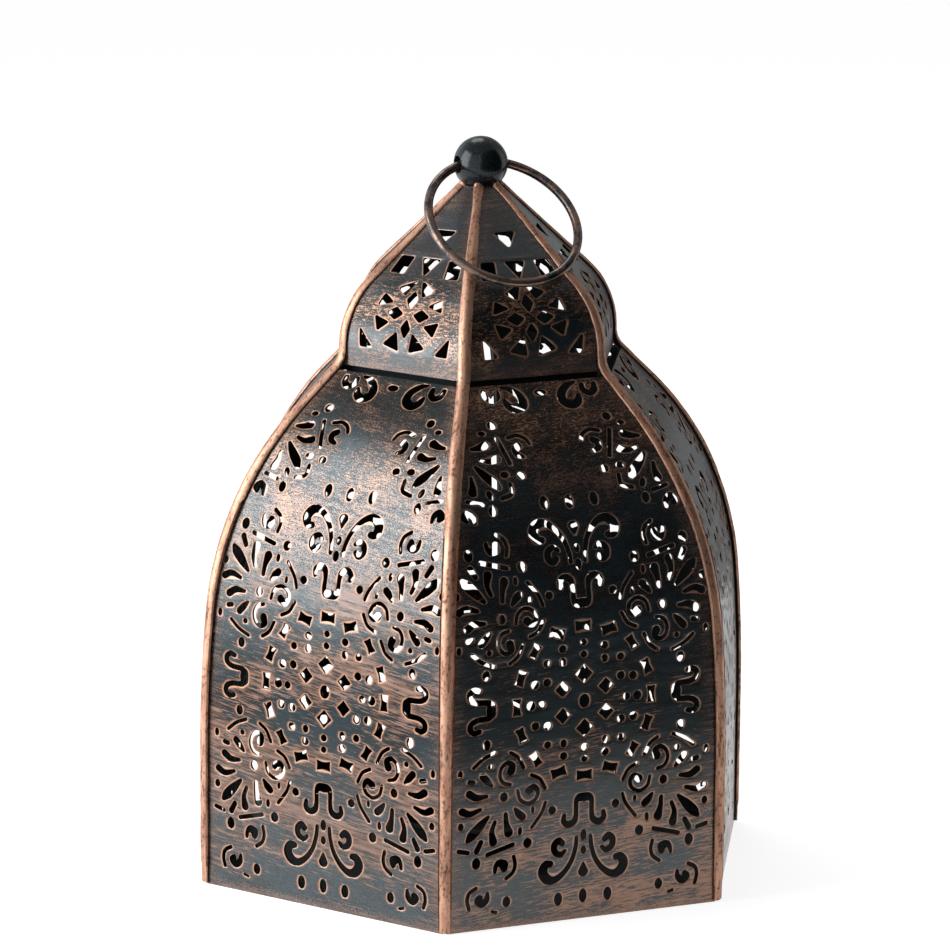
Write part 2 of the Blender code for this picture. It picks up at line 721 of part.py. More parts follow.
def make_door(home):
    """The rear wall as a door, with its leaves and knob, hung from an empty on the hinge axis."""
    axis = hinge_axis()
    pivot = bpy.data.objects.new("door_pivot", None)
    pivot.location = axis
    home.objects.link(pivot)

    bends = stations(wall_line())
    low = DOOR_SILL
    high = bends[-1][0] - DOOR_HEADROOM
    setback = RIB_HALF_WIDTH / math.cos(HALF_SECTOR) + DOOR_CLEARANCE
    outlines = [panel_edge(bends, setback, low, high)]
    outlines += wall_piercings(bends, setback, low, high)
    mesh = bend_panel("door_panel", bends, outlines)
    mesh.transform(Matrix.Translation(-axis) @ Matrix.Rotation(math.pi, 4, "Z"))
    link(bpy.data.objects.new("door_panel", mesh), IRON, home, pivot)

    wall = BODY_CORNER_RADIUS * math.cos(HALF_SECTOR)
    edge = BODY_CORNER_RADIUS / 2.0 - setback
    under = wall + SEAT_GAP - axis.y
    step = wall + rib_rise() + SEAT_GAP - axis.y
    sweep = [math.radians(turn) for turn in range(150, -151, -30)]
    leaf = [Vector((edge - LEAF_LENGTH - axis.x, under)),
            Vector((edge - LEAF_LENGTH - axis.x, under + LEAF_THICKNESS)),
            Vector((edge - LEAF_THICKNESS - axis.x, under + LEAF_THICKNESS)),
            Vector((edge - LEAF_THICKNESS - axis.x, step + LEAF_THICKNESS))]
    leaf += [Vector((KNUCKLE_RADIUS * math.cos(turn), KNUCKLE_RADIUS * math.sin(turn))) for turn in sweep]
    leaf += [Vector((edge - axis.x, step)), Vector((edge - axis.x, under))]
    eye = oval(0.0, 0.0, PIN_RADIUS + SEAT_GAP, PIN_RADIUS + SEAT_GAP, ROUND_SEGMENTS)
    tube = oval(0.0, 0.0, KNUCKLE_RADIUS, KNUCKLE_RADIUS, ROUND_SEGMENTS)
    for label, height in (("lower", HINGE_LOWER_HEIGHT), ("upper", HINGE_UPPER_HEIGHT)):
        plate = bpy.data.objects.new("hinge_leaf_" + label,
                                     outline_mesh("hinge_leaf_" + label, [leaf, eye], KNUCKLE_LENGTH))
        plate.location.z = height + KNUCKLE_LENGTH * 1.5 + SEAT_GAP
        link(plate, DARK, home, pivot)

        knuckle = bpy.data.objects.new("hinge_knuckle_" + label,
                                       outline_mesh("hinge_knuckle_" + label, [tube, eye], KNUCKLE_LENGTH))
        knuckle.location = axis + Vector((0.0, 0.0, height + KNUCKLE_LENGTH / 2.0))
        link(knuckle, DARK, home)

        top = 2.0 * KNUCKLE_LENGTH + 2.0 * SEAT_GAP
        pin = turned("hinge_pin_" + label, [
            (0.0, top + PIN_HEAD_HEIGHT), (PIN_HEAD_RADIUS * 0.7, top + PIN_HEAD_HEIGHT),
            (PIN_HEAD_RADIUS, top + PIN_HEAD_HEIGHT * 0.5), (PIN_HEAD_RADIUS, top),
            (PIN_RADIUS, top), (PIN_RADIUS, 0.0), (0.0, 0.0)], ROUND_SEGMENTS)
        pin.location = axis + Vector((0.0, 0.0, height))
        link(pin, DARK, home)

    foot = float(np.interp(KNOB_HEIGHT, [bend[2] for bend in bends], [bend[1] for bend in bends]))
    stem = KNOB_STEM_LENGTH
    knob = turned("door_knob", [(0.0, stem + 1.8 * KNOB_RADIUS)] + [
        (KNOB_RADIUS * math.sin(turn), stem + KNOB_RADIUS * (0.8 + math.cos(turn)))
        for turn in (math.radians(angle) for angle in (35, 65, 90, 115, 143))] + [
        (KNOB_STEM_RADIUS, stem), (KNOB_STEM_RADIUS, stem * 0.3), (KNOB_STEM_RADIUS * 1.6, 0.0),
        (0.0, 0.0)], ROUND_SEGMENTS)
    knob.rotation_euler.x = -math.pi / 2.0
    knob.location = Vector((KNOB_EDGE_DISTANCE - edge, foot + SEAT_GAP, KNOB_HEIGHT)) - axis
    link(knob, DARK, home, pivot)


def make_latch(home):
    """A turn button that hangs along the rear left rib, and the stud that it turns on."""
    rib_x = -(BODY_CORNER_RADIUS + RIB_CREST) / 2.0
    wall = BODY_CORNER_RADIUS * math.cos(HALF_SECTOR)
    seat = wall + rib_rise() + SEAT_GAP
    shank = STUD_HEAD_HEIGHT + BUTTON_THICKNESS + 2.0 * SEAT_GAP
    stud = turned("latch_stud", [
        (0.0, shank + STUD_HEAD_HEIGHT), (STUD_HEAD_RADIUS * 0.65, shank + STUD_HEAD_HEIGHT),
        (STUD_HEAD_RADIUS, shank + STUD_HEAD_HEIGHT * 0.4), (STUD_HEAD_RADIUS, shank),
        (STUD_RADIUS, shank), (STUD_RADIUS, STUD_HEAD_HEIGHT), (STUD_HEAD_RADIUS, STUD_HEAD_HEIGHT),
        (STUD_HEAD_RADIUS, 0.0), (0.0, 0.0)], ROUND_SEGMENTS)
    stud.rotation_euler.x = -math.pi / 2.0
    stud.location = (rib_x, seat, LATCH_HEIGHT)
    link(stud, DARK, home)

    upper = [math.radians(turn) for turn in range(0, 181, 30)]
    lower = [math.radians(turn) for turn in range(180, 361, 30)]
    shape = [Vector((BUTTON_HALF_WIDTH * math.cos(turn), BUTTON_HALF_WIDTH * math.sin(turn)))
             for turn in upper]
    shape += [Vector((0.75 * BUTTON_HALF_WIDTH * math.cos(turn),
                      0.75 * BUTTON_HALF_WIDTH * math.sin(turn) - BUTTON_LENGTH)) for turn in lower]
    eye = oval(0.0, 0.0, STUD_RADIUS + SEAT_GAP, STUD_RADIUS + SEAT_GAP, ROUND_SEGMENTS)
    button = bpy.data.objects.new("latch_button", outline_mesh("latch_button", [shape, eye], BUTTON_THICKNESS))
    button.rotation_euler.x = math.pi / 2.0
    button.location = (rib_x, seat + STUD_HEAD_HEIGHT + SEAT_GAP + BUTTON_THICKNESS / 2.0, LATCH_HEIGHT)
    link(button, DARK, home)


def main():
    clear_scene()
    home = collection("iron_lantern")
    cutters = collection("iron_lantern_cutters")
    make_base(home)
    make_walls(home)
    make_roof(home)
    make_ribs(home)
    make_ball(home, cutters)
    make_ring(home)
    make_door(home)
    make_latch(home)


main()
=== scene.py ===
import math
from math import cos, radians, sin

import bpy
import numpy as np
from mathutils import Matrix, Vector
from mathutils.kdtree import KDTree


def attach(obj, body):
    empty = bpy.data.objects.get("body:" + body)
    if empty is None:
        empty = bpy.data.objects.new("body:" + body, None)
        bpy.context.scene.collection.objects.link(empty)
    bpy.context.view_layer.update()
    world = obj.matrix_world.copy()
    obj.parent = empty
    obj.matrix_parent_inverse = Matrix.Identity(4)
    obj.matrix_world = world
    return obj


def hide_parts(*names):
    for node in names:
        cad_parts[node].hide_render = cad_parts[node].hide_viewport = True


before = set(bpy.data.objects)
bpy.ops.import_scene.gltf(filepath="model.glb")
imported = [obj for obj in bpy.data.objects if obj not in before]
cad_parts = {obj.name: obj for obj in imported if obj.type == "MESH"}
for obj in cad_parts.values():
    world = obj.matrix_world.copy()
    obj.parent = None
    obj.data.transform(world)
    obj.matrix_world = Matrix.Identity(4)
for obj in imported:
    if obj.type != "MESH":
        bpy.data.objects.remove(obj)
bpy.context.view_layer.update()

MM = 0.001
SIXTH = radians(60)
QUARTER = radians(90)
COS30 = cos(radians(30))
TINY = 1e-12
SHORT = 1e-9
UPRIGHT = (0.0, 0.0, 0.0)
LAID_BACK = (-QUARTER, 0.0, 0.0)

# The sides and corners of the lantern in the order of their turns.
SIDES = ("front", "front_right", "rear_right", "rear", "rear_left", "front_left")
CORNERS = ("right", "rear_right", "rear_left", "left", "front_left", "front_right")

# Sizes in millimetres, the same as the solids have. A bend is (radius, turn).
SHEET = 0.8
SEAM_SETBACK = 0.75
SEAT_GAP = 0.3
BODY_CORNER = 72.7
WALL_APOTHEM = BODY_CORNER * COS30
WALL_STRAIGHT = 36.0
EASE = (350.0, radians(5.2))
SHOULDER = (80.0, radians(41.0))
NECK_LEAN = EASE[1] + SHOULDER[1]
NECK_CORNER = 38.6
NECK_FILLET = 6.0
LIP_CORNER = 36.6
LIP_FOOT = 126.93
LIP_HEIGHT = 4.2
ROOF_BEND = (22.0, radians(48.0))
APEX_CORNER = 5.4
RIB_HALF = 1.8
RIB_RISE = 1.19
BALL_HEIGHT = 174.158
BALL_RADIUS = 6.65
BORE_RADIUS = 2.1
RING_RADIUS = 18.9
WIRE_RADIUS = 1.1
RING_DROP = 18.296
RING_LEAN = radians(47.83)
MEDALLION_HEIGHT = 53.8
DOOR_CLEARANCE = 1.7
DOOR_SETBACK = RIB_HALF / COS30 + DOOR_CLEARANCE
DOOR_SILL = 0.8
DOOR_HEADROOM = 0.8
HINGE_AXIS = (37.85, 65.558)
HINGE_HEIGHTS = {"lower": 8.0, "upper": 40.0}
KNUCKLE_LENGTH = 5.0
KNUCKLE_RADIUS = 1.7
PIN_RADIUS = 0.7
LEAF_THICK = 0.9
LEAF_REACH = 10.0
KNOB_PLACE = (-29.57, 62.926, 44.5)
KNOB_STEM = 2.6
KNOB_RADIUS = 2.4
LATCH_PLACE = (-36.85, 34.0)
STUD_COLLAR = 0.9
BUTTON_THICK = 1.0
BUTTON_HALF = 2.1
BUTTON_REACH = 10.0
CUP_FLOOR = 1.5

# Details that only the scene has, in millimetres.
ARC_STEP_DEGREES = 1.3
BASE_THICK = 0.9
BASE_RIM = 7.0
BASE_SLOPE = 1.4
BASE_LIFT = 0.5
RIVETS_AT = (3.0, 7.2)
RIM_WIDTH = 0.85
RIM_LEAST = 0.04
RIM_SHRINK = 0.68
RIM_TRIES = 14
RIM_SHOWN = 0.06
RIM_ROLL = 0.11
ON_RIM = 0.003
HOLE_EASE = 0.1
STAR_EASE = 0.16
STAR_CORNER = 0.4
TUCK = 1.3
NECK_SLIT = 0.4
FLANGE = 2.3
FLANGE_STEP = 1.4
FLANGE_TOP = 0.3
# half width of a rib and its crest over the corner, by height: flat foot, bar, finer top
RIB_WIDTHS = [(0.0, 1.45), (4.1, 1.45), (4.6, 1.6), (40.0, 1.65), (70.0, 1.85), (105.0, 1.85),
              (122.0, 1.6), (150.0, 1.55), (160.0, 1.25), (166.0, 1.0), (168.0, 1.2)]
RIB_CRESTS = [(0.0, 0.45), (1.4, 0.6), (4.1, 0.4), (4.6, 1.0), (100.0, 1.05), (122.0, 0.75),
              (150.0, 0.65), (166.0, 0.5), (168.0, 0.6)]
# (degrees from the crest, share of the half width, share of the drop or depth under the corner)
RIB_SECTION = [(0, 0.0, 0.0), (15, 0.30, 0.09), (30, 0.57, 0.30), (45, 0.78, 0.56), (60, 0.92, 0.80),
               (75, 0.99, 0.95), (89, 1.0, 1.0), (91, 1.0, 0.16), (105, 0.99, 0.28), (120, 0.94, 0.40),
               (135, 0.80, 0.62), (150, 0.62, 0.85), (165, 0.45, 1.1), (180, 0.0, 1.1)]
RIB_START = 0.4
RIB_SUNK = 0.15
RIB_CUTS = 170
# centre and half sizes of the solder blob between the end of a rib and the ball
BLOB_PLACE = (0.0, -4.6, 168.6)
BLOB_SIZE = (1.35, 1.1, 1.7)
# rise per length of the brush marks: front, front right, rear right, rear left, front left, door
BRUSH_SLOPES = (0.08, -0.05, 0.06, -0.07, -0.12, 0.05)
# (length up the sheet, share of copper rubbed on). The two wall tables are partly copper wear and partly
# painted light and shade: the front-left wall, which the softbox lights, has its own table with less
# copper under the eave as painted shade, and the other walls have less copper on their shoulders as
# painted shade.
LIT_WALL_COPPER_AND_SHADE = [(0.0, 1.0), (100.0, 1.0), (114.0, 0.3), (134.0, 0.0)]
SHADED_WALL_COPPER_AND_SHADE = [(0.0, 1.1), (26.0, 1.1), (46.0, 0.5), (90.0, 0.0), (108.0, 0.3), (134.0, 0.6)]
ROOF_RUBBED = [(0.0, 0.8), (20.0, 0.7), (28.0, 0.0), (60.0, -0.3)]


# The camera, as fitted to the photograph

CAMERA_AZIMUTH = radians(-114.44)
CAMERA_RISE = radians(12.24)
CAMERA_DISTANCE = 1.4
CAMERA_ROLL = radians(0.49)
CAMERA_AIM = 96.3 * MM
SENSOR = 36.0
FOCAL_OVER_WIDTH = 5673.9 / 950.0
CENTRE_SHIFT = 3.1 / 950.0


def set_camera():
    lens = bpy.data.cameras.new("photo_camera")
    lens.sensor_width = SENSOR
    lens.lens = SENSOR * FOCAL_OVER_WIDTH
    lens.shift_x = -CENTRE_SHIFT
    lens.clip_start = 0.01
    aim = Vector((0.0, 0.0, CAMERA_AIM))
    flat = cos(CAMERA_RISE)
    back = Vector((flat * cos(CAMERA_AZIMUTH), flat * sin(CAMERA_AZIMUTH),
                   sin(CAMERA_RISE)))
    camera = linked(bpy.data.objects.new("photo_camera", lens))
    turn = back.to_track_quat("Z", "Y").to_matrix().to_4x4() @ Matrix.Rotation(CAMERA_ROLL, 4, "Z")
    camera.matrix_world = Matrix.Translation(aim + back * CAMERA_DISTANCE) @ turn
    bpy.context.scene.camera = camera


# Hand tools


def linked(obj):
    bpy.context.scene.collection.objects.link(obj)
    return obj


def shut():
    bpy.ops.object.mode_set(mode="OBJECT")


def fresh():
    """Leave edit mode with nothing selected."""
    if bpy.context.object and bpy.context.object.mode != "OBJECT":
        shut()
    bpy.ops.object.select_all(action="DESELECT")


def pick(obj):
    fresh()
    obj.select_set(True)
    bpy.context.view_layer.objects.active = obj
    return obj


def edit(obj, mode="VERT", action="SELECT"):
    pick(obj)
    bpy.ops.object.mode_set(mode="EDIT")
    bpy.ops.mesh.select_mode(type=mode)
    bpy.ops.mesh.select_all(action=action)


def weld(reach):
    """Merge what lies within reach, turn the faces outwards and leave edit mode."""
    bpy.ops.mesh.select_all(action="SELECT")
    bpy.ops.mesh.remove_doubles(threshold=reach * MM)
    bpy.ops.mesh.normals_make_consistent(inside=False)
    shut()


def named(name):
    made = bpy.context.object
    made.name = name
    made.data.name = name
    return made


def with_modifier(obj, kind, **settings):
    pick(obj)
    made = obj.modifiers.new(kind.title(), kind)
    for key, value in settings.items():
        setattr(made, key, value)
    bpy.ops.object.modifier_apply(modifier=made.name)


def settle(obj):
    """Put the object's place and turn into its mesh."""
    pick(obj)
    bpy.ops.object.transform_apply(location=True, rotation=True, scale=True)


def smooth(obj, degrees):
    pick(obj)
    bpy.ops.object.shade_smooth_by_angle(angle=radians(degrees))


def places(obj):
    found = np.zeros(len(obj.data.vertices) * 3)
    obj.data.vertices.foreach_get("co", found)
    return found.reshape(-1, 3)


def put(obj, spots):
    obj.data.vertices.foreach_set("co", np.ascontiguousarray(spots, dtype=float).ravel())
    obj.data.update()


def note(obj, name, values):
    """Keep one number or one vector for each vertex."""
    values = np.asarray(values, dtype=np.float32)
    kind, field = ("FLOAT_VECTOR", "vector") if values.ndim == 2 else ("FLOAT", "value")
    layer = obj.data.attributes.get(name) or obj.data.attributes.new(name, kind, "POINT")
    layer.data.foreach_set(field, values.ravel())


def noted(obj, name):
    found = np.zeros(len(obj.data.vertices), dtype=np.float32)
    obj.data.attributes[name].data.foreach_get("value", found)
    return found


def spread(obj, name):
    """The vectors kept under a name, one for each vertex."""
    found = np.zeros(len(obj.data.vertices) * 3, dtype=np.float32)
    obj.data.attributes[name].data.foreach_get("vector", found)
    return found.reshape(-1, 3)


def lumps(obj, size, height):
    """Small unevenness of hand work all over a piece."""
    cloud = bpy.data.textures.new(obj.name + "_lumps", "CLOUDS")
    cloud.noise_scale = size * MM
    cloud.noise_depth = 2
    with_modifier(obj, "DISPLACE", texture=cloud, strength=height * MM, mid_level=0.5,
                  texture_coords="LOCAL")


def turned(name, profile, steps=40):
    """Spin a line of (radius, height) points round Z."""
    fresh()
    bpy.ops.mesh.primitive_plane_add(size=MM)
    obj = named(name)
    edit(obj)
    bpy.ops.mesh.merge(type="CENTER")
    spots = [Vector((radius, 0.0, height)) * MM for radius, height in profile]
    bpy.ops.transform.translate(value=spots[0])
    for here, there in zip(spots, spots[1:]):
        bpy.ops.mesh.extrude_region_move(TRANSFORM_OT_translate={"value": there - here})
    bpy.ops.mesh.select_all(action="SELECT")
    bpy.ops.mesh.spin(steps=steps, angle=math.tau, center=(0.0, 0.0, 0.0), axis=(0.0, 0.0, 1.0))
    weld(0.0005)
    smooth(obj, 40)
    return obj


def move(obj, place, turn=UPRIGHT):
    obj.location = Vector(place) * MM
    obj.rotation_euler = turn
    settle(obj)
    return obj


def join(first, *others):
    fresh()
    for obj in (first, *others):
        obj.select_set(True)
    bpy.context.view_layer.objects.active = first
    bpy.ops.object.join()
    return first


def plate(name, outlines, thickness=0.0, edge=0.0):
    """A flat plate from closed outlines in millimetres; those inside the first are holes."""
    drawing = bpy.data.curves.new(name, "CURVE")
    drawing.dimensions = "2D"
    drawing.fill_mode = "BOTH" if thickness else "FRONT"
    drawing.extrude = (thickness / 2.0 - edge) * MM if thickness else 0.0
    drawing.bevel_depth = edge * MM
    drawing.bevel_resolution = 2
    drawing.offset = -edge * MM
    for outline in outlines:
        spline = drawing.splines.new("POLY")
        spline.points.add(len(outline) - 1)
        spline.use_cyclic_u = True
        for spot, (x, y) in zip(spline.points, outline):
            spot.co = (x * MM, y * MM, 0.0, 1.0)
    pick(linked(bpy.data.objects.new(name, drawing)))
    bpy.ops.object.convert(target="MESH")
    obj = named(name)
    edit(obj)
    weld(0.001)
    return obj


# Lines in the plane of a corner, (corner radius, height) from the base up


def follow(start, heading, moves):
    """Walk a line; heading is the lean inwards from upright. A move is a run or (radius, turn)."""
    line = [np.array(start, float)]
    for step in moves:
        if not isinstance(step, tuple):
            line.append(line[-1] + step * np.array((-sin(heading), cos(heading))))
            continue
        radius, turn = step
        side = math.copysign(1.0, turn)
        centre = line[-1] - side * radius * np.array((cos(heading), sin(heading)))
        count = max(3, round(abs(math.degrees(turn)) / ARC_STEP_DEGREES))
        for k in range(1, count + 1):
            lean = heading + turn * k / count
            line.append(centre + side * radius * np.array((cos(lean), sin(lean))))
        heading += turn
    return np.array(line)


def wall_moves(last):
    bent = follow((BODY_CORNER, 0.0), 0.0, [WALL_STRAIGHT, EASE, SHOULDER])
    return [WALL_STRAIGHT, EASE, SHOULDER, (bent[-1][0] - last) / sin(NECK_LEAN)]


def roof_corner():
    bent = LIP_CORNER - ROOF_BEND[0] * (1.0 - cos(ROOF_BEND[1]))
    slope = (bent - APEX_CORNER) / sin(ROOF_BEND[1])
    return follow((LIP_CORNER, LIP_FOOT), 0.0, [LIP_HEIGHT, ROOF_BEND, slope])


def rib_corner():
    """The wall, a small hollow at the neck, then the roof."""
    roof = roof_corner()
    moves = wall_moves(LIP_CORNER)
    corner = follow((BODY_CORNER, 0.0), 0.0, moves)[-1]
    tangent = min(NECK_FILLET * math.tan(NECK_LEAN / 2.0), 0.85 * (roof[1][1] - corner[1]))
    moves[-1] -= tangent
    moves.append((tangent / math.tan(NECK_LEAN / 2.0), -NECK_LEAN))
    return np.vstack([follow((BODY_CORNER, 0.0), 0.0, moves), roof[1:]])


def unit(rows):
    return rows / np.maximum(np.linalg.norm(rows, axis=-1, keepdims=True), SHORT)


def lengths_of(line):
    return np.concatenate([[0.0], np.cumsum(np.hypot(*np.diff(line, axis=0).T))])


def middle_of(line):
    """The line up the middle of a side, from the line up its corner."""
    return line * (COS30, 1.0)


def fold(obj, line):
    """Bend a flat piece along a line: y is the length, z the lift. It then faces -Y."""
    run = lengths_of(line)
    along = unit(np.gradient(line, run, axis=0))
    x, length, lift = (places(obj) / MM).T
    slant = [np.interp(length, run, along[:, k]) for k in (0, 1)]
    past = length - np.clip(length, 0.0, run[-1])
    out = np.interp(length, run, line[:, 0]) + past * slant[0] + lift * slant[1]
    up = np.interp(length, run, line[:, 1]) + past * slant[1] - lift * slant[0]
    put(obj, np.stack([x, -out, up], 1) * MM)


def copies(obj, names, body, slot, finish, turns):
    """The same piece at other corners or sides, each with its own mesh."""
    made = []
    for name, turn in zip(names, turns):
        one = obj.copy()
        one.data = obj.data.copy()
        one.name = name + "_dressed"
        one.data.name = one.name
        linked(one)
        one.data.transform(Matrix.Rotation(turn * SIXTH, 4, "Z"))
        made.append(dress(one, body, slot, finish, name))
    bpy.data.objects.remove(obj)
    return made


def dress(obj, body, slot, finish, *nodes):
    obj.data.materials.clear()
    obj.data.materials.append(finish)
    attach(obj, body)
    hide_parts(*nodes)
    return obj


# Punch shapes for the sheets, in millimetres


def glide(spots, steps=5):
    """A smooth line through (x, y, half width) spots."""
    rows = np.array(spots, float)
    ends = np.vstack([2 * rows[0] - rows[1], rows, 2 * rows[-1] - rows[-2]])
    line = []
    for a, b, c, d in zip(ends, ends[1:], ends[2:], ends[3:]):
        for t in np.arange(steps) / steps:
            bend = 2 * a - 5 * b + 4 * c - d + t * (3 * (b - c) + d - a)
            line.append(b + 0.5 * t * (c - a + t * bend))
    return np.vstack([line, rows[-1]])


def cross(one, other):
    return one[..., 0] * other[..., 1] - one[..., 1] * other[..., 0]


def meeting(a, ab, c, cd):
    """The shares of two sides at which their lines meet."""
    turn = cross(ab, cd)
    turn = np.where(np.abs(turn) < TINY, TINY, turn)
    return cross(c - a, cd) / turn, cross(c - a, ab) / turn


def pared(outline, least=0.05, flat=0.012, long=2.5):
    """Drop points that are too close or that lie on a straight run."""
    kept = [np.array(point) for point in outline]
    k = 0
    while k < len(kept) and len(kept) > 6:
        before, here, after = kept[k - 1], kept[k], kept[(k + 1) % len(kept)]
        chord = after - before
        off = abs(cross(chord, here - before)) / max(np.hypot(*chord), SHORT)
        if np.hypot(*(here - before)) < least or (off < flat and np.hypot(*chord) < long):
            kept.pop(k)
        else:
            k += 1
    return np.array(kept)


def untangled(outline):
    """Cut away small loops where an outline crosses itself."""
    k = 0
    while k < len(outline):
        line = np.roll(outline, -k, 0)
        a, ab = line[0], line[1] - line[0]
        t, u = meeting(a, ab, line[2:12], line[3:13] - line[2:12])
        hit = np.flatnonzero((t >= 0) & (t <= 1) & (u >= 0) & (u <= 1))
        if len(hit):
            last = hit[-1]
            meet = a + t[last] * ab
            outline = np.vstack([line[:1], meet, line[last + 3:]])
            k = 0
        else:
            k += 1
    return outline


def stroke(spots):
    """The outline of a punch that follows a line with a half width at each spot and round ends."""
    line = glide(spots)
    middle, half = line[:, :2], np.maximum(line[:, 2:], 0.1)
    along = unit(np.gradient(middle, axis=0))
    across = np.stack([-along[:, 1], along[:, 0]], 1)
    turns = np.radians(np.arange(25, 180, 26))[:, None]
    far = middle[-1] + half[-1] * (np.cos(turns) * across[-1] + np.sin(turns) * along[-1])
    near = middle[0] - half[0] * (np.cos(turns) * across[0] + np.sin(turns) * along[0])
    outline = np.vstack([middle + across * half, far, (middle - across * half)[::-1], near])
    gaps = np.linalg.norm(outline[:, None] - middle[None], axis=2)
    return pared(untangled(outline[~(gaps < half[:, 0][None] - 0.02).any(1)]))


def line_cut(half, *spots):
    return stroke([(x, y, half) for x, y in spots])


def placed(shape, x, y, turn):
    c, s = cos(radians(turn)), sin(radians(turn))
    return shape @ np.array([[c, s], [-s, c]]) + (x, y)


def oval(x, y, rx, ry=None, turn=0.0):
    angles = np.radians(np.arange(0, 360, 24))
    return placed(np.stack([rx * np.cos(angles), (ry or rx) * np.sin(angles)], 1), x, y, turn)


def diamond(x, y, size):
    """A four-pointed punch with hollow sides and blunt points."""
    angles = np.radians(np.arange(0, 360, 15))
    c, s = np.abs(np.cos(angles)), np.abs(np.sin(angles))
    reach = np.minimum(size * (c ** 0.86 + s ** 0.86) ** (-1 / 0.86), size * 0.94)
    return np.stack([x + reach * np.cos(angles), y + reach * np.sin(angles)], 1)


def spool(x, y, half, end, waist, turn=0.0):
    """A bobbin: a bar with hollow sides, hollow ends and four corners."""
    t = np.linspace(-0.96, 0.96, 9)
    side = np.stack([half * t, waist + (end - waist) * t ** 2], 1)
    cap = np.array([(half * 0.94, 0.55 * end), (half * 0.9, 0.0), (half * 0.94, -0.55 * end)])
    return placed(np.vstack([side, cap, -side, -cap]), x, y, turn)


def spool_between(a, b, end, waist):
    (ax, ay), (bx, by) = a, b
    turn = math.degrees(math.atan2(by - ay, bx - ax))
    return spool((ax + bx) / 2, (ay + by) / 2, math.hypot(bx - ax, by - ay) / 2, end, waist, turn)


def rounded(corners, radius):
    """A polygon with its corners rounded."""
    corners = np.array(corners, float)
    outline = []
    for before, here, after in zip(np.roll(corners, 1, 0), corners, np.roll(corners, -1, 0)):
        a, b = unit(before - here), unit(after - here)
        cut = min(radius, 0.4 * np.linalg.norm(before - here), 0.4 * np.linalg.norm(after - here))
        for t in (0.0, 0.25, 0.5, 0.75, 1.0):
            outline.append(here + cut * ((1 - t) ** 2 * a + t ** 2 * b))
    return np.array(outline)


def outward(outline):
    """Unit vectors that point out of a closed outline at its points."""
    step = unit(np.roll(outline, -1, 0) - outline)
    mean = unit(step + np.roll(step, 1, 0))
    x, y = outline.T
    side = np.sign((x * np.roll(y, -1) - y * np.roll(x, -1)).sum())
    return side * np.stack([mean[:, 1], -mean[:, 0]], 1)


def grown(outline, by):
    return outline + by * outward(outline)


def crossings(one, other, same=False):
    """Which sides of one closed outline cross a side of the other."""
    a, c = one[:, None], other[None]
    t, u = meeting(a, np.roll(one, -1, 0)[:, None] - a, c, np.roll(other, -1, 0)[None] - c)
    hit = (t > -0.01) & (t < 1.01) & (u > -0.01) & (u < 1.01)
    if same:
        count = len(one)
        apart = np.abs(np.arange(count)[:, None] - np.arange(count)[None])
        hit &= (apart > 1) & (apart < count - 1)
    return hit.any(1)


def rims_of(holes, edge):
    """The outer lines of the holes' rubbed rims, clear of each other and of the edge."""
    ways = [outward(hole) for hole in holes]
    widths = [np.full(len(hole), RIM_WIDTH) for hole in holes]
    middles = np.array([hole.mean(0) for hole in holes])
    reach = np.array([np.linalg.norm(hole - hole.mean(0), axis=1).max() for hole in holes])
    near = [np.flatnonzero(np.linalg.norm(middles - middle, axis=1) < reach + far + 2.0 * RIM_WIDTH)
            for middle, far in zip(middles, reach)]

    def drawn():
        return [hole + way * width[:, None] for hole, way, width in zip(holes, ways, widths)]

    rims = drawn()
    for _ in range(RIM_TRIES):
        bad = 0
        for k, (hole, rim) in enumerate(zip(holes, rims)):
            wrong = crossings(rim, rim, same=True) | crossings(rim, edge) | crossings(rim, hole)
            for j in near[k]:
                if j != k:
                    wrong |= crossings(rim, rims[j]) | crossings(rim, holes[j])
            backwards = (np.roll(rim, -1, 0) - rim) * (np.roll(hole, -1, 0) - hole)
            wrong |= backwards.sum(1) <= 0
            wrong |= np.roll(wrong, 1) | np.roll(wrong, -1)
            widths[k] = np.where(wrong, np.maximum(RIM_SHRINK * widths[k], RIM_LEAST), widths[k])
            bad += wrong.any()
        rims = drawn()
        if not bad:
            break
    return rims


def mirrored(outlines, across=True, along=True):
    found = []
    for a in (1, -1) if across else (1,):
        for b in (1, -1) if along else (1,):
            found += [outline * (a, b) for outline in outlines]
    return found


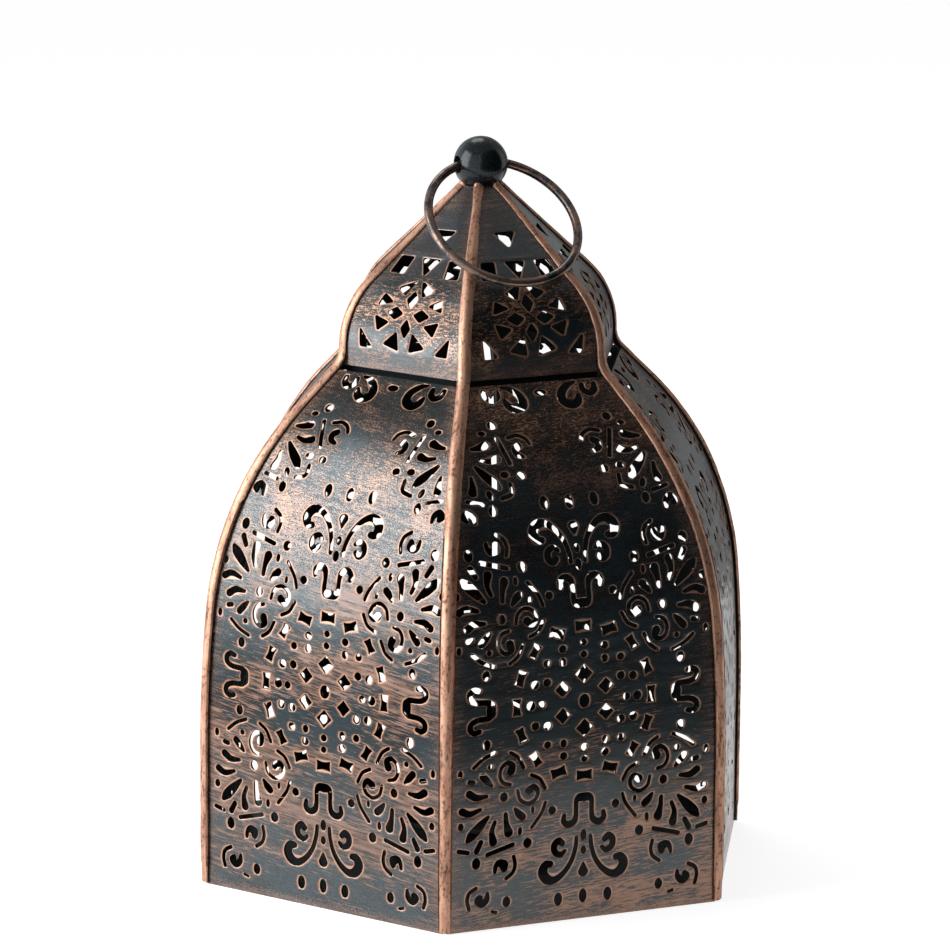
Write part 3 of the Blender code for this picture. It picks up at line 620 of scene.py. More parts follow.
def medallion():
    """The wall's ornament about its centre; every motif is drawn once and mirrored."""
    quarter = [
        # the row of ovals and the butterfly
        oval(6.55, 48.4, 1.0, 1.6),
        stroke([(1.85, 33.6, .45), (2.1, 36, .5), (3.2, 39.3, .55), (5.2, 42, .65), (7.6, 43.5, .85),
                (9.6, 43.1, 1.15), (10.7, 41.3, 1.2), (10, 39.6, 1.0), (8.7, 39.4, .75)]),
        stroke([(4.9, 36.6, .45), (6, 37.4, .6), (7.5, 36.6, .75), (7.7, 34.9, .8), (6.6, 33.9, .8),
                (5.6, 34.6, .7)]),
        # the comma in its arc, and the dots and dashes beside it
        stroke([(20.9, 39.2, .8), (21, 38.2, 1.1), (22.3, 37.7, .8), (23.1, 38.6, .55),
                (23.3, 39.8, .4)]),
        line_cut(.42, (18.4, 36.5), (18.0, 38.5), (18.6, 40.4), (20.3, 41.7)),
        line_cut(.48, (18.65, 33.5), (25.3, 35.3)),
        oval(14.8, 33.5, 1.05, 1.2),
        oval(28.2, 37.2, 1.05, 1.4),
        stroke([(27.0, 32.1, .6), (28.1, 34.1, .7)]),
        line_cut(.48, (30.4, 34.3), (32.8, 33.7)),
        # the corner hook
        stroke([(25.2, 44.9, .4), (25.4, 46.4, .7), (26.7, 47.3, .9), (27.8, 46.4, .8),
                (27.3, 45.8, .75)]),
        oval(20.2, 47.5, .95, 1.3),
        # the fan of petals
        stroke([(20.6, 25.8, .5), (20.4, 28.2, .65), (19.8, 30.4, 1.1)]),
        stroke([(23.4, 27.5, .45), (24.2, 29.8, .6), (23.8, 32.3, 1.0)]),
        stroke([(25.2, 26, .4), (27.5, 28.3, 1.1), (29.6, 30.4, 1.15), (30.5, 31.4, .5)]),
        stroke([(32, 24, .85), (30, 24.8, .7), (27.2, 24, .4)]),
        stroke([(30.1, 19.9, .9), (28.2, 21, .75), (25.6, 20.9, .4)]),
        stroke([(26.6, 16, .85), (25.4, 17.3, .8), (24.3, 18.4, .35)]),
        stroke([(18.1, 24.8, .4), (17.2, 26, .85), (16.2, 26.9, .9)]),
        oval(32.3, 27.8, .7, .9), oval(32.5, 14.9, .55, .95), oval(21.1, 21.5, .95, 1.1),
        oval(8.4, 26.1, .95), oval(13.5, 25.4, .4, .8), oval(16.8, 30.3, .5, 1.0),
        oval(24.7, 13.8, .6), oval(25.6, 8.4, .9, 1.2),
        line_cut(.55, (29.1, 17.2), (30.1, 17)),
        line_cut(.38, (10.2, 24), (11.2, 26.5), (13.7, 29.7)),
        # the two spirals and their arcs
        stroke([(19.3, 15.4, 1.0), (18.9, 14, .75), (20.2, 13.2, .5), (21.7, 14.2, .4), (22.2, 16.2, .4),
                (21.3, 18, .4), (19.5, 18.6, .38)]),
        stroke([(14.6, 20.6, .95), (13.2, 19.8, .7), (12.2, 21, .5), (12.8, 22.8, .42), (14.8, 23.7, .4),
                (16.8, 22.6, .38), (17.5, 20.3, .36)]),
        line_cut(.38, (19.4, 10.8), (17.4, 12.2), (16, 14.8)),
        line_cut(.38, (23.6, 10.4), (26.6, 11.7), (29, 13.6)),
        line_cut(.38, (13.9, 16.8), (11.7, 18), (10.3, 20.4)),
        # the bobbins and the lattice of dots
        spool(6.8, 16.9, 1.95, 1.3, .85, 15),
        spool_between((13.6, 11.6), (11.9, 14.6), 1.1, .75),
        spool_between((17.2, 5.2), (15.9, 8.6), 1.15, .8),
        diamond(5.7, 3.2, 2.05),
        oval(9.7, 5.3, .95), oval(12.9, 5, .95), oval(5.5, 9.9, .75, .95), oval(9.7, 9.9, .85),
        oval(5.5, 13, .9),
    ]
    middle = [
        oval(0, 48.2, .95, 1.7),
        stroke([(0, 40.1, .25), (0, 41.2, .8), (0, 42.1, 1.3)]),
        oval(0, 36.8, .7, 1.0),
        oval(0, 33, .75, 1.3),
        spool(0, 18.2, 2.05, 1.3, .85),
        oval(0, 14.2, .75),
        oval(0, 11.3, .8),
        diamond(0, 6.6, 2.35),
    ]
    arch = [(0, 23.7, 1.05), (1.3, 23.7, .9), (2, 24.6, .6), (2.05, 27.5, .55), (2.5, 29.4, .75),
            (4.1, 30.1, .75), (5.3, 29.2, .65), (5.2, 27.8, .5)]
    middle.append(stroke([(-x, y, w) for x, y, w in arch[:0:-1]] + arch))
    side = [(24.4, 0, 1.2), (24.4, 1.2, 1.0), (25.3, 1.9, .65), (28, 2.1, .6), (29.6, 2.9, .65),
            (29.9, 4.3, .65), (28.8, 5.2, .6), (27.5, 4.9, .55)]
    row = [oval(11.2, 0, .85), oval(14, 0, 1.05), spool(17.7, 0, 2.05, 1.1, .75, 90),
           stroke([(x, -y, w) for x, y, w in side[:0:-1]] + side)]
    foot = [line_cut(.42, (28.2, -43.3), (30, -44.4), (30.5, -46.3), (30, -48.3)),
            line_cut(.3, (22.9, -49.8), (24, -49.5))]
    return (mirrored(quarter) + mirrored(middle, across=False) + mirrored(row, along=False)
            + mirrored(foot, along=False) + [oval(0, 0, 1.3, 1.6)])


def shoulder_fans():
    """The petals by the ribs where the wall leans in, and the scrolls under the neck."""
    half = [
        oval(15.2, 69.2, 1.05),
        oval(18.4, 67.2, .9, .6),
        stroke([(18.3, 64.1, 1.0), (20, 63.5, .75), (22, 63.3, .4)]),
        stroke([(16.2, 60.3, .95), (18.3, 59.8, .65), (20.5, 60.4, .4)]),
        line_cut(.5, (14.9, 65.5), (13.1, 58.8)),
        stroke([(9.8, 63.2, .8), (10.9, 62.4, .85), (10.7, 61, .7), (9.3, 60.3, .45)]),
        line_cut(.42, (12, 65.5), (9.6, 66), (7.6, 65), (6.9, 63.6)),
        oval(11, 55.6, 1.0, .9),
        oval(15.2, 56.1, 1.1, .8),
        stroke([(22.2, 58.6, .45), (20.4, 56.4, 1.0), (18.3, 54.2, 1.15), (17.4, 53, .6)]),
        stroke([(24, 56, .35), (24, 54, .7), (24.4, 52.3, 1.05)]),
        line_cut(.45, (14.3, 53.7), (14.5, 51.2), (17.2, 50.3)),
        oval(20.1, 51.3, .7, 1.2, -20),
        line_cut(.42, (22.4, 49.2), (26.2, 50.2)),
        stroke([(9.7, 79.3, .25), (7.5, 78.6, .75), (5.5, 76.6, 1.0), (5.4, 74.3, 1.15), (7.4, 73.1, 1.1),
                (9.2, 74.1, .95), (9.8, 75.6, .55)]),
        stroke([(14.6, 78.4, .65), (14.3, 76.9, .8), (12.8, 76, .8), (11.4, 77, .75), (11.3, 78.3, .65)]),
    ]
    return mirrored(half, along=False) + [oval(0, 77.2, 1.5, .8)]


def roof_cuts():
    """The roof's star of blunt triangles, above its lower edge."""
    half = [
        [(-8.7, 30.0), (-5.4, 30.0), (-6.2, 25.1), (-9.8, 25.2)],
        [(-5.0, 20.9), (-0.9, 23.2), (-2.5, 19.2)],
        [(-8.3, 18.8), (-5.4, 17.0), (-9.3, 15.9)],
        [(-9.3, 13.0), (-5.4, 11.8), (-8.2, 9.7)],
        [(-2.4, 9.6), (-5.9, 6.5), (-1.7, 5.3)],
        [(-13.2, 9.4), (-9.6, 5.3), (-12.8, 5.2)],
        [(-6.1, 14.3), (-3.7, 15.7), (-1.7, 14.3), (-3.7, 12.8)],
    ]
    middle = [
        [(-2.6, 38.4), (2.5, 38.6), (0.0, 34.4)],
        [(-2.4, 30.0), (2.4, 30.0), (0.0, 25.3)],
        [(0.0, 15.9), (1.4, 18.1), (0.0, 20.3), (-1.4, 18.1)],
        [(0.0, 12.9), (1.3, 10.8), (0.0, 8.5), (-1.3, 10.8)],
    ]
    star = mirrored([rounded(shape, STAR_CORNER) for shape in half], along=False)
    star += [rounded(shape, STAR_CORNER) for shape in middle]
    return [grown(outline, STAR_EASE) for outline in star]


def nearest(one, other):
    """Least distance between two closed outlines."""
    best = math.inf
    for a, b in ((one, other), (other, one)):
        after = np.roll(b, -1, 0)
        run = after - b
        share = ((a[:, None] - b) * run).sum(2) / np.maximum((run ** 2).sum(1), TINY)
        spot = b + np.clip(share, 0, 1)[:, :, None] * run
        best = min(best, np.linalg.norm(a[:, None] - spot, axis=2).min())
    return best


def fitting(outlines, line, setback, low, high, margin=0.3, web=0.3):
    """Keep the holes clear of the edges and of each other; one just past the edge is tucked in."""
    run = lengths_of(middle_of(line))
    kept = []
    for outline in outlines:
        y = outline[:, 1]
        room = np.interp(y, run, line[:, 0]) / 2.0 - setback - margin
        past = (np.abs(outline[:, 0]) - room).max()
        if past > TUCK or y.min() < low + margin or y.max() > high - margin:
            continue
        if past > 0:
            outline = outline - (math.copysign(past, outline[:, 0].mean()), 0.0)
        centre, reach = outline.mean(0), np.ptp(outline, axis=0).max()
        near = [o for o in kept if np.abs(o.mean(0) - centre).max() < reach + np.ptp(o, axis=0).max()]
        if all(nearest(outline, o) > web for o in near):
            kept.append(outline)
    return kept


def sheet_edge(line, setback, low, high):
    run = lengths_of(middle_of(line))
    rows = np.unique(np.concatenate([[low, high], run[(run > low) & (run < high)]]))
    half = np.interp(rows, run, line[:, 0]) / 2.0 - setback
    right = np.stack([half, rows], 1)
    return np.vstack([right, right[::-1] * (-1, 1)])


def pierced_sheet(name, line, setback, low, high, cuts, hidden=-1.0):
    """Draw the flat sheet with its holes, roll the cut edges, thicken it, crease it and fold it."""
    edge = sheet_edge(line, setback, low, high)
    holes = fitting(cuts, line, setback, low, high)
    rims = rims_of(holes, edge)
    obj = join(plate(name, [edge] + rims), plate(name + "_rims", rims + holes))
    edit(obj)
    weld(0.002)
    if obj.data.polygons[0].normal.z < 0:
        edit(obj)
        bpy.ops.mesh.flip_normals()
    fresh()
    cut = KDTree(sum(len(hole) for hole in holes))
    for k, (spot, beside) in enumerate(zip(np.vstack(holes), np.vstack(rims))):
        if np.hypot(*(spot - beside)) > RIM_SHOWN:
            cut.insert((*spot, 0.0), k)
    cut.balance()
    flat = places(obj) / MM
    at_hole = np.array([cut.find(spot)[2] < ON_RIM for spot in flat], float)
    put(obj, (flat - at_hole[:, None] * (0.0, 0.0, RIM_ROLL)) * MM)
    note(obj, "rim", at_hole)
    with_modifier(obj, "SOLIDIFY", thickness=SHEET * MM, offset=-1.0, use_rim=True)
    flat = places(obj) / MM
    note(obj, "rim", noted(obj, "rim") * (flat[:, 2] > -0.5 * SHEET))
    # The back faces, the hole walls towards them and the hidden flange are marked here; the finish paints
    # them near black as painted shade.
    note(obj, "inside", (flat[:, 2] < -0.5 * SHEET) | (flat[:, 1] < hidden))
    run = lengths_of(middle_of(line))
    for length in run[1:-1]:
        if low < length < high:
            edit(obj)
            bpy.ops.mesh.bisect(plane_co=(0.0, length * MM, 0.0), plane_no=(0.0, 1.0, 0.0))
    shut()
    x, length, depth = (places(obj) / MM).T
    note(obj, "flat_place", np.stack([x, length - max(hidden, 0.0), depth], 1))
    note(obj, "side", np.interp(length, run, line[:, 0]) / 2.0 - setback - np.abs(x))
    fold(obj, middle_of(line))
    smooth(obj, 25)
    with_modifier(obj, "WEIGHTED_NORMAL", mode="FACE_AREA", weight=50, keep_sharp=True)
    return obj


# Finishes


class Value:
    """A socket of a finish; sums and products of values become Math nodes."""

    def __init__(self, finish, socket):
        self.finish = finish
        self.socket = socket

    def maths(self, operation, *terms):
        return self.finish.node("Math", dict(enumerate(terms)), operation=operation)

    def __add__(self, other):
        return self.maths("ADD", self, other)

    def __sub__(self, other):
        return self.maths("SUBTRACT", self, other)

    def __rsub__(self, other):
        return self.maths("SUBTRACT", other, self)

    def __mul__(self, other):
        return self.maths("MULTIPLY", self, other)

    def most(self, other):
        return self.maths("MAXIMUM", self, other)

    __radd__ = __add__
    __rmul__ = __mul__


class Finish:
    """The nodes of a procedural finish, or of the world."""

    def __init__(self, name, home="materials", shader="Principled BSDF"):
        self.holder = getattr(bpy.data, home).new(name)
        self.holder.use_nodes = True
        self.tree = self.holder.node_tree
        self.shader = self.tree.nodes[shader]

    def node(self, kind, inputs=None, output=0, **settings):
        made = self.tree.nodes.new("ShaderNode" + kind)
        for key, value in settings.items():
            setattr(made, key, value)
        for key, value in (inputs or {}).items():
            self.feed(made.inputs[key], value)
        return Value(self, made.outputs[output])

    def feed(self, socket, value):
        if isinstance(value, Value):
            self.tree.links.new(value.socket, socket)
        elif isinstance(value, tuple) and len(value) == 3 and socket.type == "RGBA":
            socket.default_value = (*value, 1.0)
        else:
            socket.default_value = value

    def place(self):
        """Object coordinates in millimetres."""
        spot = self.node("TexCoord", output="Object")
        return self.stretched(spot, 1000.0, 1000.0, 1000.0)

    def seen(self):
        """One for camera, mirror and see-through rays, so metal shows the same pale ground as the eye."""
        eye, mirror, through = [self.node("LightPath", output="Is " + kind + " Ray")
                                for kind in ("Camera", "Glossy", "Transmission")]
        return eye.most(mirror).most(through)

    def kept(self, name, output):
        return self.node("Attribute", output=output, attribute_name=name)

    def stretched(self, spot, *scale, shift=(0.0, 0.0, 0.0)):
        return self.node("Mapping", {"Vector": spot, "Location": shift, "Scale": scale})

    def noise(self, spot, scale, detail, roughness):
        return self.node("TexNoise", {
            "Vector": spot, "Scale": scale, "Detail": detail, "Roughness": roughness})

    def step(self, value, low, high, bottom=0.0, top=1.0):
        return self.node("MapRange", {
            "Value": value, "From Min": low, "From Max": high, "To Min": bottom, "To Max": top,
        }, interpolation_type="SMOOTHSTEP")

    def blend(self, share, one, other):
        return self.node("Mix", {0: share, 6: one, 7: other}, 2, data_type="RGBA")

    def part_of(self, spot, axis):
        return self.node("SeparateXYZ", {"Vector": spot}, axis)

    def bump(self, height, strength, distance):
        return self.node("Bump", {"Height": height, "Strength": strength, "Distance": distance * MM})

    def done(self, **inputs):
        for key, value in inputs.items():
            self.feed(self.shader.inputs[key.replace("_", " ")], value)
        return self.holder


WHITE = (1.0, 1.0, 1.0)
COOL = (0.89, 0.96, 1.0)
SLATE = (0.012, 0.023, 0.029)
SOOT = (0.006, 0.0055, 0.0055)
# near-black painted shade for the back of the sheets, their hole walls and the hidden flange
INSIDE_PAINTED_SHADE = (0.003, 0.0028, 0.0028)
OLIVE = (0.018, 0.013, 0.009)
RUST = (0.12, 0.055, 0.033)
STREAK_COPPER = (0.30, 0.175, 0.13)
BROWN_COPPER = (0.16, 0.078, 0.048)
FLAKE_COPPER = (0.38, 0.25, 0.20)
HALO_COPPER = (0.36, 0.165, 0.09)
EDGE_COPPER = (0.60, 0.32, 0.20)
WIRE_COPPER = (0.32, 0.20, 0.15)
RIB_BRIGHT = (0.72, 0.40, 0.27)
RIB_DULL = (0.52, 0.25, 0.155)
RIB_PITS = (0.08, 0.034, 0.02)
# painted shade under the undercut sides of the rib
RIB_UNDER_SHADE = (0.012, 0.008, 0.006)
COLD_SHEEN = (0.75, 0.95, 1.0)
FLAKED = (0.46, 0.54)

# The noises of a sheet: scale along and up the brush marks, shift, detail, roughness.
SHEET_NOISES = {
    "fibre": (0.26, 2.9, (0.0, 0.0, 0.0), 4.0, 0.7),
    "brush": (0.10, 1.2, (3.0, 8.0, 1.0), 3.0, 0.6),
    "band": (0.02, 0.12, (5.0, 2.0, 3.0), 2.0, 0.5),
    "cloud": (0.07, 0.08, (1.0, 7.0, 6.0), 3.0, 0.6),
    "grain": (2.8, 4.2, (2.0, 4.0, 2.0), 2.0, 0.6),
    "patch": (0.6, 0.8, (6.0, 1.0, 5.0), 3.0, 0.65),
    "fleck": (0.7, 2.4, (4.0, 3.0, 7.0), 3.0, 0.65),
}

# Lengths up the sheet over which a look comes in; a sheen is (from, to, least share of lacquer).
WALL_LOOK = {"brushed": 1.0, "leaning": (66.0, 92.0), "neck": (106.0, 119.0), "speckled": (86.0, 104.0),
             "sheens": [(45.0, 82.0, 0.2), (54.0, 16.0, 0.5)]}
ROOF_LOOK = {"brushed": 0.35, "leaning": (70.0, 80.0), "neck": (70.0, 80.0), "speckled": (0.0, 10.0),
             "sheens": [(13.0, 6.0, 0.6), (16.0, 30.0, 0.6)]}


def rubbed_sheet(name, brushed, leaning, neck, speckled, sheens):
    """Black sheet rubbed with copper: fibres low down, flakes and specks higher up."""
    f = Finish(name)
    height = f.part_of(f.kept("flat_place", "Vector"), "Y")
    spot = f.kept("brush_place", "Vector")
    # rubbed: share of copper; on the walls it also carries painted light and shade, lit front-left wall
    # against the shaded others
    rubbed = f.kept("rubbed", "Fac")
    rim = f.kept("rim", "Fac")
    # painted shade: near black on the back faces, the hole walls and the hidden flange
    inside = f.step(f.kept("inside", "Fac"), 0.04, 0.25)
    fibre, brush, band, cloud, grain, patch, fleck = [
        f.noise(f.stretched(spot, along, up, 1.0, shift=shift), 1.0, detail, rough)
        for along, up, shift, detail, rough in SHEET_NOISES.values()]
    lean = f.step(height + (patch - 0.5) * 20.0, *leaning)
    top = f.step(height + (cloud - 0.5) * 10.0, *neck)
    side = f.step(f.kept("side", "Fac") + (patch - 0.5) * 9.0, 5.5, 0.5)
    cover = (band * 0.5 + cloud * 0.5 - 0.5) * 0.6 + (rubbed - 1.0) * 0.12
    streaks = f.step(fibre * 0.7 + brush * 0.2 + grain * 0.1 + cover, 0.49, 0.57) * brushed
    loose = grain * 0.65 + fibre * 0.2 + patch * 0.15
    swept = (brush - 0.5) * 0.3
    flakes = f.step(loose + (cloud - 0.5) * 0.3 + swept + (rubbed - 1.0) * 0.13, *FLAKED)
    copper = (streaks * (1.0 - lean * 0.6)).most(flakes * lean * 0.8)
    copper = copper.most(f.step(loose + swept, *FLAKED) * side * 0.8)
    specks = f.step(fleck * 0.6 + grain * 0.4 + (cloud - 0.5) * 0.35, 0.535, 0.595)
    specks = specks * f.step(height + (cloud - 0.5) * 40.0, *speckled) * f.step(rubbed, 0.0, 0.5) * 0.85
    copper = copper.most(specks)
    foot = f.step(height - (grain - 0.5) * 8.0, 0.0, 1.8, 0.9, 0.0)
    worn = f.step(rim + (patch - 0.5) * 0.6, 0.50, 0.90)
    halo = f.step(rim + (patch - 0.5) * 0.9, 0.1, 0.7) * f.step(rubbed, 0.0, 1.0) * 0.85
    dark = f.blend(f.step(cloud, 0.35, 0.65), SLATE, SOOT)
    dark = f.blend(top * f.step(patch, 0.3, 0.6) * 0.8, dark, OLIVE)
    tint = f.blend(f.step(brush, 0.36, 0.64), BROWN_COPPER, STREAK_COPPER)
    tint = f.blend(lean * 0.8, tint, f.blend(top, FLAKE_COPPER, HALO_COPPER))
    tint = f.blend(f.step(rubbed, 1.0, 1.15, 0.0, 0.8).most(specks), tint, EDGE_COPPER)
    colour = f.blend(copper.most(foot), dark, tint)
    colour = f.blend(halo, colour, HALO_COPPER)
    colour = f.blend(worn, colour, EDGE_COPPER)
    # painted shade inside the lantern and in the slit under the eave
    colour = f.blend(inside, colour, INSIDE_PAINTED_SHADE)
    shown = copper.most(worn).most(foot)
    lacquer = 0.0
    for low, high, least in sheens:
        thick = f.step(height, low, high) * f.step(loose, 0.40, 0.60, least, 1.0)
        lacquer = thick.most(lacquer)
    return f.done(
        Base_Color=colour,
        Metallic=shown * 0.45 * (1.0 - inside),
        Roughness=f.step(fibre, 0.25, 0.75, 0.27, 0.37) + shown * 0.06 + inside * 0.4,
        Specular_IOR_Level=0.26,
        Specular_Tint=COLD_SHEEN,
        Coat_Weight=lacquer * (1.0 - top) * (1.0 - inside) * (1.0 - copper * 0.45),
        Coat_Roughness=0.30,
        Coat_IOR=1.8,
        Normal=f.bump(fibre * 0.3 + grain * 0.5 + shown * 0.3, 0.4, 0.02))


def rubbed_rib():
    """Copper rubbed over a dark bar, with long smears, specks and painted shade along the undercut under
    each side.
    """
    f = Finish("rubbed_rib")
    spot = f.place()
    groove = f.kept("groove", "Fac")
    smear = f.noise(f.stretched(f.kept("along", "Vector"), 1.1, 0.10, 1.1), 1.0, 4.0, 0.65)
    stain = f.noise(f.stretched(spot, 1.0, 1.0, 0.4), 0.5, 4.0, 0.65)
    specks = f.noise(f.stretched(spot, 1.0, 1.0, 0.6), 1.7, 3.0, 0.6)
    pits = f.step(specks * 0.5 + smear * 0.25 + stain * 0.25, 0.50, 0.60)
    colour = f.blend(f.step(smear, 0.38, 0.62), RIB_BRIGHT, RIB_DULL)
    colour = f.blend(pits * 0.75, colour, RIB_PITS)
    # painted shade on the rib's flanks below the sheets' faces
    colour = f.blend(f.step(groove + (stain - 0.5) * 0.6, 0.25, 0.7), colour, RIB_UNDER_SHADE)
    return f.done(Base_Color=colour, Metallic=0.6 - pits * 0.4, Roughness=0.40 + stain * 0.12,
                  Normal=f.bump(specks * 0.4 + smear, 0.35, 0.1))


def dark_wire(name, copper_low, copper_high, rough, shine):
    """Dark iron wire or turned iron with copper where hands rub it."""
    f = Finish(name)
    spot = f.place()
    cloud = f.noise(spot, 0.22, 4.0, 0.62)
    grit = f.noise(spot, 1.8, 3.0, 0.6)
    copper = f.step(cloud * 0.7 + grit * 0.3, copper_low, copper_high)
    colour = f.blend(copper * 0.8, f.blend(f.step(grit, 0.4, 0.6), SOOT, SLATE), WIRE_COPPER)
    return f.done(Base_Color=colour, Metallic=copper * 0.65, Roughness=grit * 0.12 + rough,
                  Specular_IOR_Level=shine, Normal=f.bump(grit * 0.4 + cloud, 0.2, 0.05))


def plain_iron():
    """Black iron of the base, cup and fittings."""
    f = Finish("plain_iron")
    spot = f.place()
    cloud = f.noise(spot, 0.12, 4.0, 0.6)
    grit = f.noise(spot, 1.2, 3.0, 0.62)
    rust = f.step(cloud * 0.6 + grit * 0.4, 0.50, 0.64)
    colour = f.blend(rust * 0.55, f.blend(f.step(cloud, 0.4, 0.6), SLATE, SOOT), RUST)
    return f.done(Base_Color=colour, Metallic=0.1, Roughness=0.38 + grit * 0.2,
                  Normal=f.bump(grit * 0.6 + cloud * 0.4, 0.25, 0.06))


# Pieces


def make_walls(finish):
    """Five fixed walls, and the door at the rear."""
    line = follow((BODY_CORNER, 0.0), 0.0, wall_moves(NECK_CORNER))
    top = lengths_of(middle_of(line))[-1]
    cuts = [grown(outline, HOLE_EASE) + (0.0, MEDALLION_HEIGHT)
            for outline in medallion() + shoulder_fans()]
    wall = pierced_sheet("wall_sheet", line, SEAM_SETBACK, 0.0, top - NECK_SLIT, cuts)
    rear = SIDES.index("rear")
    turns = [k for k in range(len(SIDES)) if k != rear]
    made = copies(wall, ["wall_" + SIDES[k] for k in turns], "frame", "rubbed_iron", finish, turns)
    door = pierced_sheet("door_sheet", line, DOOR_SETBACK, DOOR_SILL, top - DOOR_HEADROOM, cuts)
    return made + copies(door, ["door_panel"], "door", "rubbed_iron", finish, [rear])


def make_roof(finish):
    """The roof's foot steps in to a hidden flange behind the top of the wall."""
    inner = LIP_CORNER - FLANGE_STEP
    flange = [(inner, LIP_FOOT - FLANGE), (inner, LIP_FOOT - FLANGE_TOP)]
    line = np.vstack([flange, roof_corner()])
    run = lengths_of(middle_of(line))
    lip = run[len(flange)]
    cuts = [grown(outline, HOLE_EASE) + (0.0, lip) for outline in roof_cuts()]
    # the flange below the lip counts as inside and gets painted shade
    roof = pierced_sheet("roof_sheet", line, SEAM_SETBACK, 0.0, run[-1], cuts, hidden=lip - 0.1)
    names = ["roof_" + side for side in SIDES]
    return copies(roof, names, "frame", "roof_iron", finish, range(len(SIDES)))


def vary(sheets):
    """Give each sheet its own run of streaks, brushed at its own slope, and copper rubbed on more or
    less, with painted light and shade in the walls' shares.
    """
    for k, obj in enumerate(sheets):
        x, length, depth = spread(obj, "flat_place").T
        seed = 3.7 * k + 0.02 * depth
        note(obj, "brush_place", np.stack([x, length - x * BRUSH_SLOPES[k % len(BRUSH_SLOPES)], seed], 1))
        # the lit front-left wall and the shaded other walls get different copper, partly painted light
        # and shade
        shares = LIT_WALL_COPPER_AND_SHADE if "front_left" in obj.name else SHADED_WALL_COPPER_AND_SHADE
        if "roof" in obj.name:
            shares = ROOF_RUBBED
        note(obj, "rubbed", np.interp(length, *zip(*shares)))


def make_ribs(finish):
    """A half-round bar with a flat solder foot and a blob at the top, bent along the corner."""
    line = rib_corner()
    total = lengths_of(line)[-1]
    fresh()
    bpy.ops.mesh.primitive_cylinder_add(vertices=24, radius=1.0, depth=1.0, rotation=LAID_BACK)
    rib = named("corner_rib")
    settle(rib)
    edit(rib, "EDGE", "DESELECT")
    shut()
    spots = places(rib)
    for rail in rib.data.edges:
        a, b = rail.vertices
        rail.select = bool(abs(spots[a][1] - spots[b][1]) > 0.5)
    bpy.ops.object.mode_set(mode="EDIT")
    bpy.ops.mesh.subdivide(number_cuts=RIB_CUTS)
    shut()
    x, y, z = places(rib).T
    length = RIB_START + (y + 0.5) * (total - RIB_START)
    height = np.interp(length, lengths_of(line), line[:, 1])
    half = np.interp(height, *zip(*RIB_WIDTHS))
    crest = np.interp(height, *zip(*RIB_CRESTS))
    degrees = np.degrees(np.arctan2(np.abs(x), z))
    stops, across, fall = np.array(RIB_SECTION).T
    drop = np.interp(degrees, stops, fall)
    lift = np.where(degrees < 90.0, crest - np.clip(drop, 0.0, 1.0) * (crest + RIB_SUNK), -drop)
    wide = np.sign(x) * np.interp(degrees, stops, across) * half
    put(rib, np.stack([wide, length, lift], 1) * MM)
    # painted shade: the underside of the bar, below the sheets' faces, is marked for a near-black colour
    note(rib, "groove", np.interp(lift, [-0.45, -0.1], [1.0, 0.0]))
    note(rib, "along", np.stack([x, length, z], 1))
    fold(rib, line)
    fresh()
    bpy.ops.mesh.primitive_uv_sphere_add(segments=24, ring_count=16, radius=MM, scale=BLOB_SIZE,
                                         location=[k * MM for k in BLOB_PLACE])
    blob = named("solder_blob")
    settle(blob)
    lumps(blob, 1.6, 0.7)
    join(rib, blob)
    lumps(rib, 2.6, 0.2)
    smooth(rib, 50)
    turns = [k + 1.5 for k in range(len(CORNERS))]
    copies(rib, ["rib_" + corner for corner in CORNERS], "frame", "rubbed_copper", finish, turns)


def make_ball(finish):
    fresh()
    centre = (0.0, 0.0, BALL_HEIGHT * MM)
    bpy.ops.mesh.primitive_uv_sphere_add(segments=64, ring_count=32, radius=BALL_RADIUS * MM,
                                         location=centre)
    ball = named("ball_top")
    settle(ball)
    bpy.ops.mesh.primitive_cylinder_add(vertices=32, radius=BORE_RADIUS * MM, depth=20.0 * MM,
                                        location=centre, rotation=(0.0, QUARTER, 0.0))
    drill = named("ball_drill")
    with_modifier(ball, "BOOLEAN", operation="DIFFERENCE", object=drill, solver="EXACT")
    bpy.data.objects.remove(drill)
    edit(ball, "EDGE", "DESELECT")
    bpy.ops.mesh.edges_select_sharp(sharpness=radians(40))
    bpy.ops.mesh.bevel(offset=0.25 * MM, segments=3)
    shut()
    lumps(ball, 4.0, 0.12)
    smooth(ball, 40)
    dress(ball, "frame", "ball_iron", finish, "finial_ball")


def make_ring(finish):
    fresh()
    bpy.ops.mesh.primitive_torus_add(major_segments=180, minor_segments=18,
                                     major_radius=RING_RADIUS * MM, minor_radius=WIRE_RADIUS * MM)
    ring = named("wire_ring")
    edit(ring)
    bpy.ops.transform.rotate(value=QUARTER, orient_axis="X", center_override=(0.0, 0.0, 0.0))
    bpy.ops.transform.translate(value=(0.0, 0.0, -RING_DROP * MM))
    shut()
    lumps(ring, 5.0, 0.1)
    smooth(ring, 60)
    move(ring, (0.0, 0.0, BALL_HEIGHT), (-RING_LEAN, 0.0, 0.0))
    dress(ring, "ring", "ring_iron", finish, "ring_handle")


